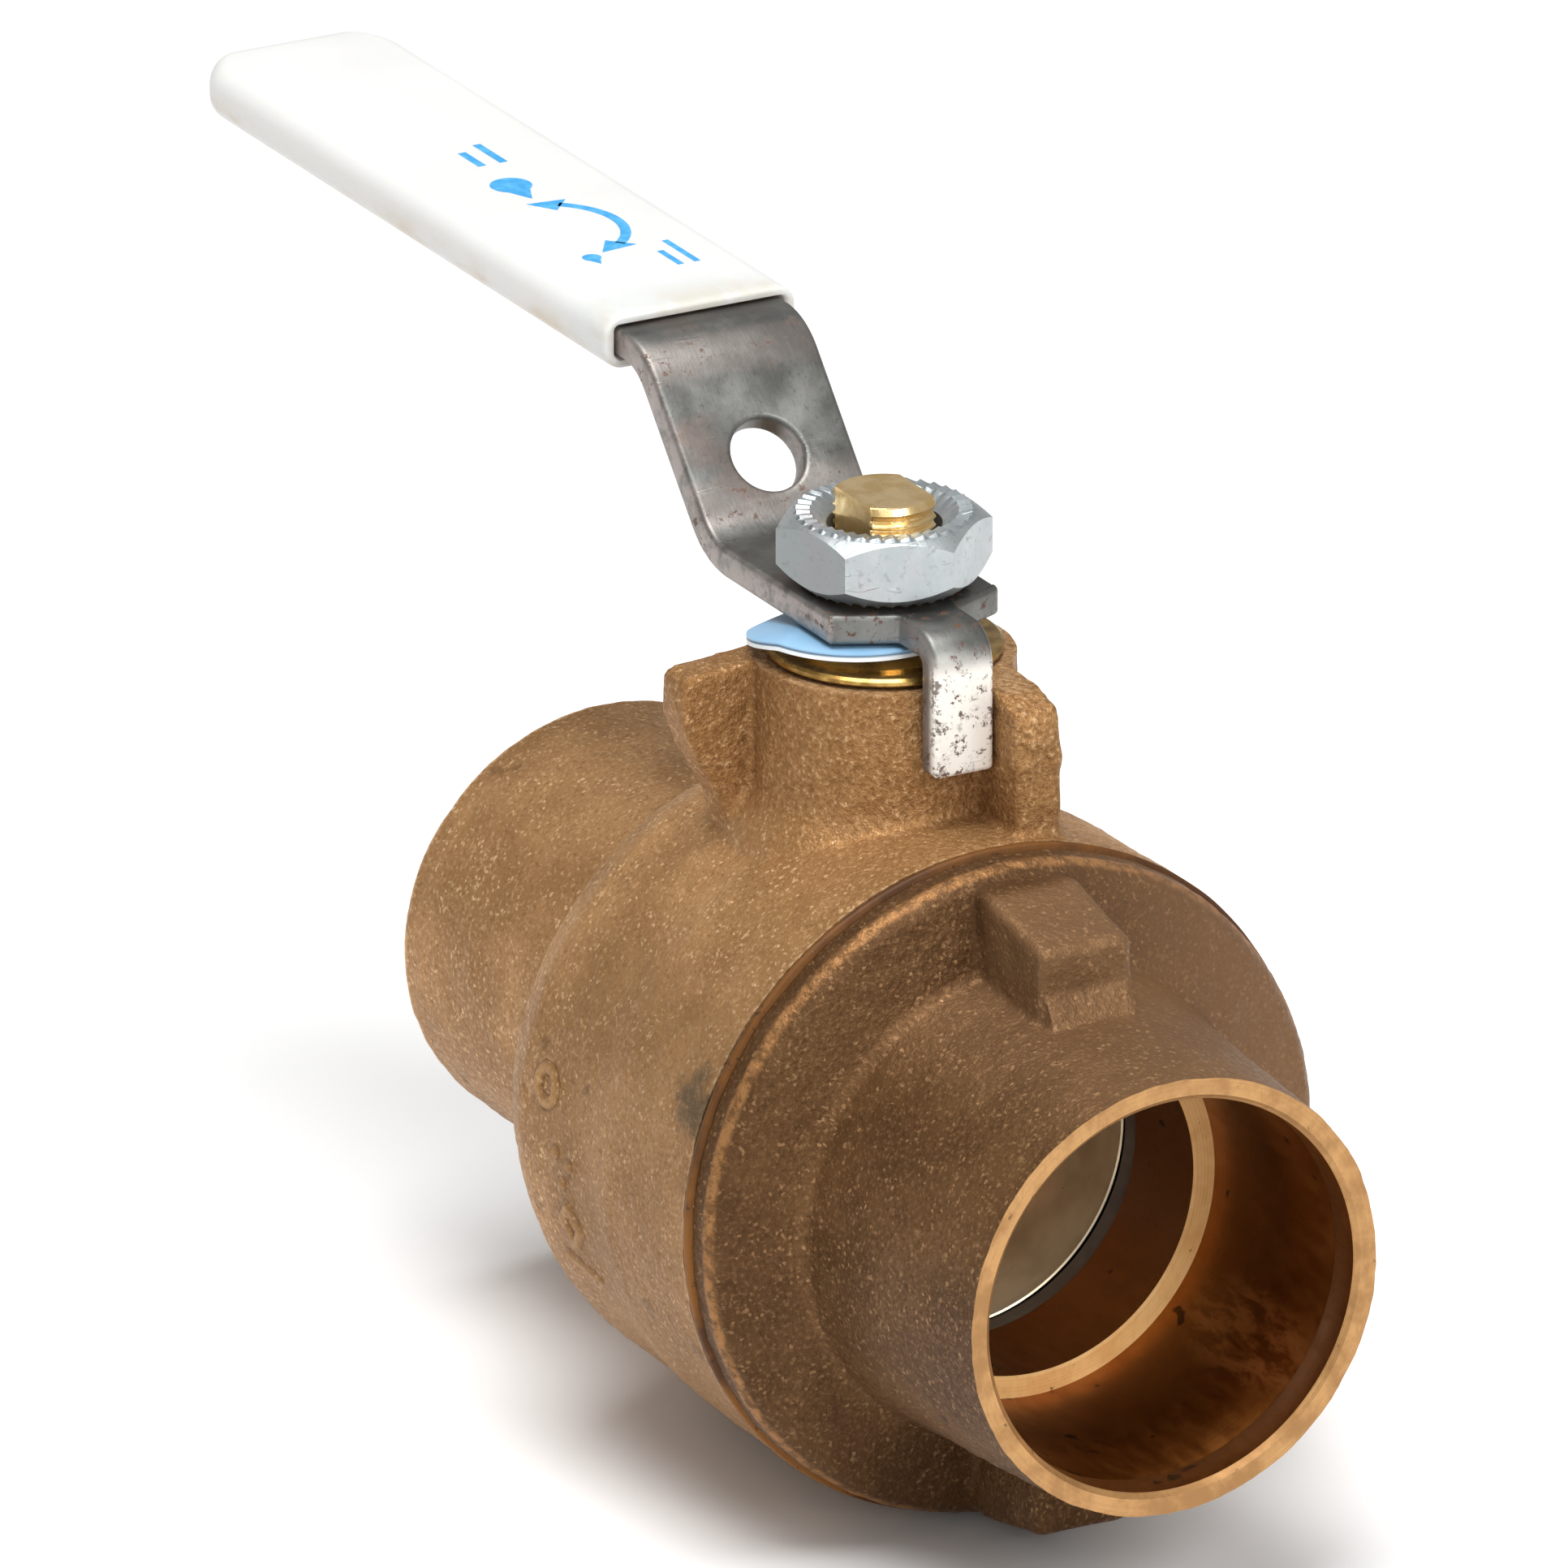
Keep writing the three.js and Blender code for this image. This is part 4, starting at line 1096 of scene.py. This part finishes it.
def grip_marks():
    """Generic printed marks: a quarter-turn arc with an arrowhead at each end, a drop and two bars."""
    def bar(x0, x1, y0, y1):
        return [(x0, y0), (x1, y0), (x1, y1), (x0, y1)]

    def arc(cx, cy, radius, width, start, end, steps=20):
        turn = [math.radians(start + (end - start) * k / steps) for k in range(steps + 1)]
        outer, inner = ([(cx + r * math.cos(a), cy + r * math.sin(a)) for a in turn]
                        for r in (radius + width / 2, radius - width / 2))
        return outer + inner[::-1]

    def head(cx, cy, radius, at, way, size):
        a, b = math.radians(at), math.radians(at + way * 24)
        tip = (cx + radius * math.cos(b), cy + radius * math.sin(b))
        return [(cx + (radius - size) * math.cos(a), cy + (radius - size) * math.sin(a)), tip,
                (cx + (radius + size) * math.cos(a), cy + (radius + size) * math.sin(a))]

    def drop(cx, cy, size):
        turn = [math.radians(35 + 290 * k / 20) for k in range(21)]
        return [(cx + size * math.cos(a), cy + size * math.sin(a)) for a in turn] + [(cx + 2.1 * size, cy)]

    centre = (-64.0, -4.6)
    shapes = [arc(*centre, 8.6, 1.1, 40, 140), head(*centre, 8.6, 42, -1, 1.7), head(*centre, 8.6, 138, 1, 1.7),
              drop(-78.0, -0.6, 2.2), bar(-90.5, -84.5, 1.6, 2.5), bar(-89.0, -84.5, -0.9, 0.0),
              bar(-56.0, -49.0, 5.0, 5.7), bar(-53.5, -49.0, 3.1, 3.8), drop(-55.0, -3.6, 1.0)]
    level = GRIP_LEVEL + GRIP_HALF_THICK
    points, faces = [], []
    for outline in shapes:
        start, count = len(points), len(outline)
        points += [(x, y, level - 0.05) for x, y in outline] + [(x, y, level + 0.03) for x, y in outline]
        faces += [tuple(start + k for k in range(count)),
                  tuple(start + count + k for k in reversed(range(count)))]
        faces += [(start + k, start + (k + 1) % count, start + count + (k + 1) % count, start + count + k)
                  for k in range(count)]
    marks = new_object("grip_print", points, faces)
    paint(marks, print_ink())
    return fit(marks, LEVER_SET, "white_vinyl")


# ---------------------------------------------------------------- scene

LIGHT_TARGET = Vector((0, 0, 0.02))


def area_light(name, place, size, power):
    """A square softbox, size metres wide, that faces the valve."""
    data = bpy.data.lights.new(name, "AREA")
    data.shape = "RECTANGLE"
    data.size = data.size_y = size
    data.energy = power
    light = bpy.data.objects.new(name, data)
    light.location = place
    light.rotation_euler = (LIGHT_TARGET - Vector(place)).to_track_quat("-Z", "Y").to_euler()
    bpy.context.scene.collection.objects.link(light)


def camera():
    """A long lens at the photograph's viewing angle."""
    azimuth, elevation, distance = math.radians(61.38), math.radians(21.0), 2.905
    target = Vector((-14.7, -3.4, 30.0)) * MM
    towards = Vector((math.cos(elevation) * math.sin(azimuth), -math.cos(elevation) * math.cos(azimuth),
                      math.sin(elevation)))
    data = bpy.data.cameras.new("camera")
    data.sensor_width = 36.0
    data.lens = 662.0
    data.clip_end = 20.0
    made = bpy.data.objects.new("camera", data)
    made.location = target + towards * distance
    made.rotation_euler = (-towards).to_track_quat("-Z", "Y").to_euler()
    bpy.context.scene.collection.objects.link(made)
    bpy.context.scene.camera = made


def stage():
    """A pale paper floor, an even sky and three softboxes."""
    level = CAD_BOX[0].z
    size = 6.0
    mesh = bpy.data.meshes.new("floor")
    mesh.from_pydata([(-size, -size, level), (size, -size, level), (size, size, level), (-size, size, level)],
                     [], [(0, 1, 2, 3)])
    floor = bpy.data.objects.new("floor", mesh)
    bpy.context.scene.collection.objects.link(floor)
    look = Look("floor_paper", 0.9, 0.0, Specular_IOR_Level=0.1)
    paint(floor, look.done(look.mix(look.noise(400, 2, 0.5), (0.90, 0.90, 0.90), (0.92, 0.92, 0.92))))
    world = bpy.data.worlds.new("world")
    bpy.context.scene.world = world
    world.use_nodes = True
    background = world.node_tree.nodes["Background"]
    background.inputs["Color"].default_value = (1.0, 0.99, 0.975, 1)
    background.inputs["Strength"].default_value = 0.36
    area_light("front_softbox", (1.75, 0.2, 1.15), 0.9, 20)
    area_light("left_softbox", (1.65, -0.85, 0.7), 0.8, 3.5)
    area_light("top_softbox", (0.15, -0.25, 1.7), 1.1, 32)
    bpy.context.scene.view_settings.view_transform = "Standard"


camera()
stage()

MACHINED = machined_bronze("machined_rim", (0.53, 0.290, 0.112), (0.36, 0.185, 0.066), 0.34, 0.6)
# Painted light: a brighter, barely metallic copy of the machined bronze, so the stop ledge deep in the cup
# looks directly lit.
PAINTED_LIT_LEDGE = machined_bronze("machined_stop_painted_light", (1.0, 0.66, 0.28), (0.88, 0.52, 0.20), 0.36, 0.10)
CUP_INSIDE = cup_copper("cup_copper", (0.290, 0.112, 0.024), (0.52, 0.23, 0.070), 0.33)
PORT_COPPER = cup_copper("port_copper", (0.250, 0.090, 0.010), (0.42, 0.180, 0.040), 0.34)
STEM_BRASS = turned_brass("stem_brass", (0.98, 0.72, 0.37), (0.72, 0.49, 0.20))
# Painted shade: a much darker copy of the stem brass for the gland, which sits in the tags' shadow.
GLAND_BRASS_PAINTED_SHADE = turned_brass("gland_brass_painted_shade", (0.54, 0.34, 0.10), (0.24, 0.14, 0.036))
SEAT = seat_polymer()

body_casting()
end_retainer()
retainer_spigot()
body_seal()
seat_rings()
ball()
stem()
packing_gland()
lever_nut()
tag_discs()
lever()
grip()
grip_marks()

for hidden in ("stem_bearing", "packing_ring_1", "packing_ring_2", "packing_ring_3"):
    paint(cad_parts[hidden], SEAT)
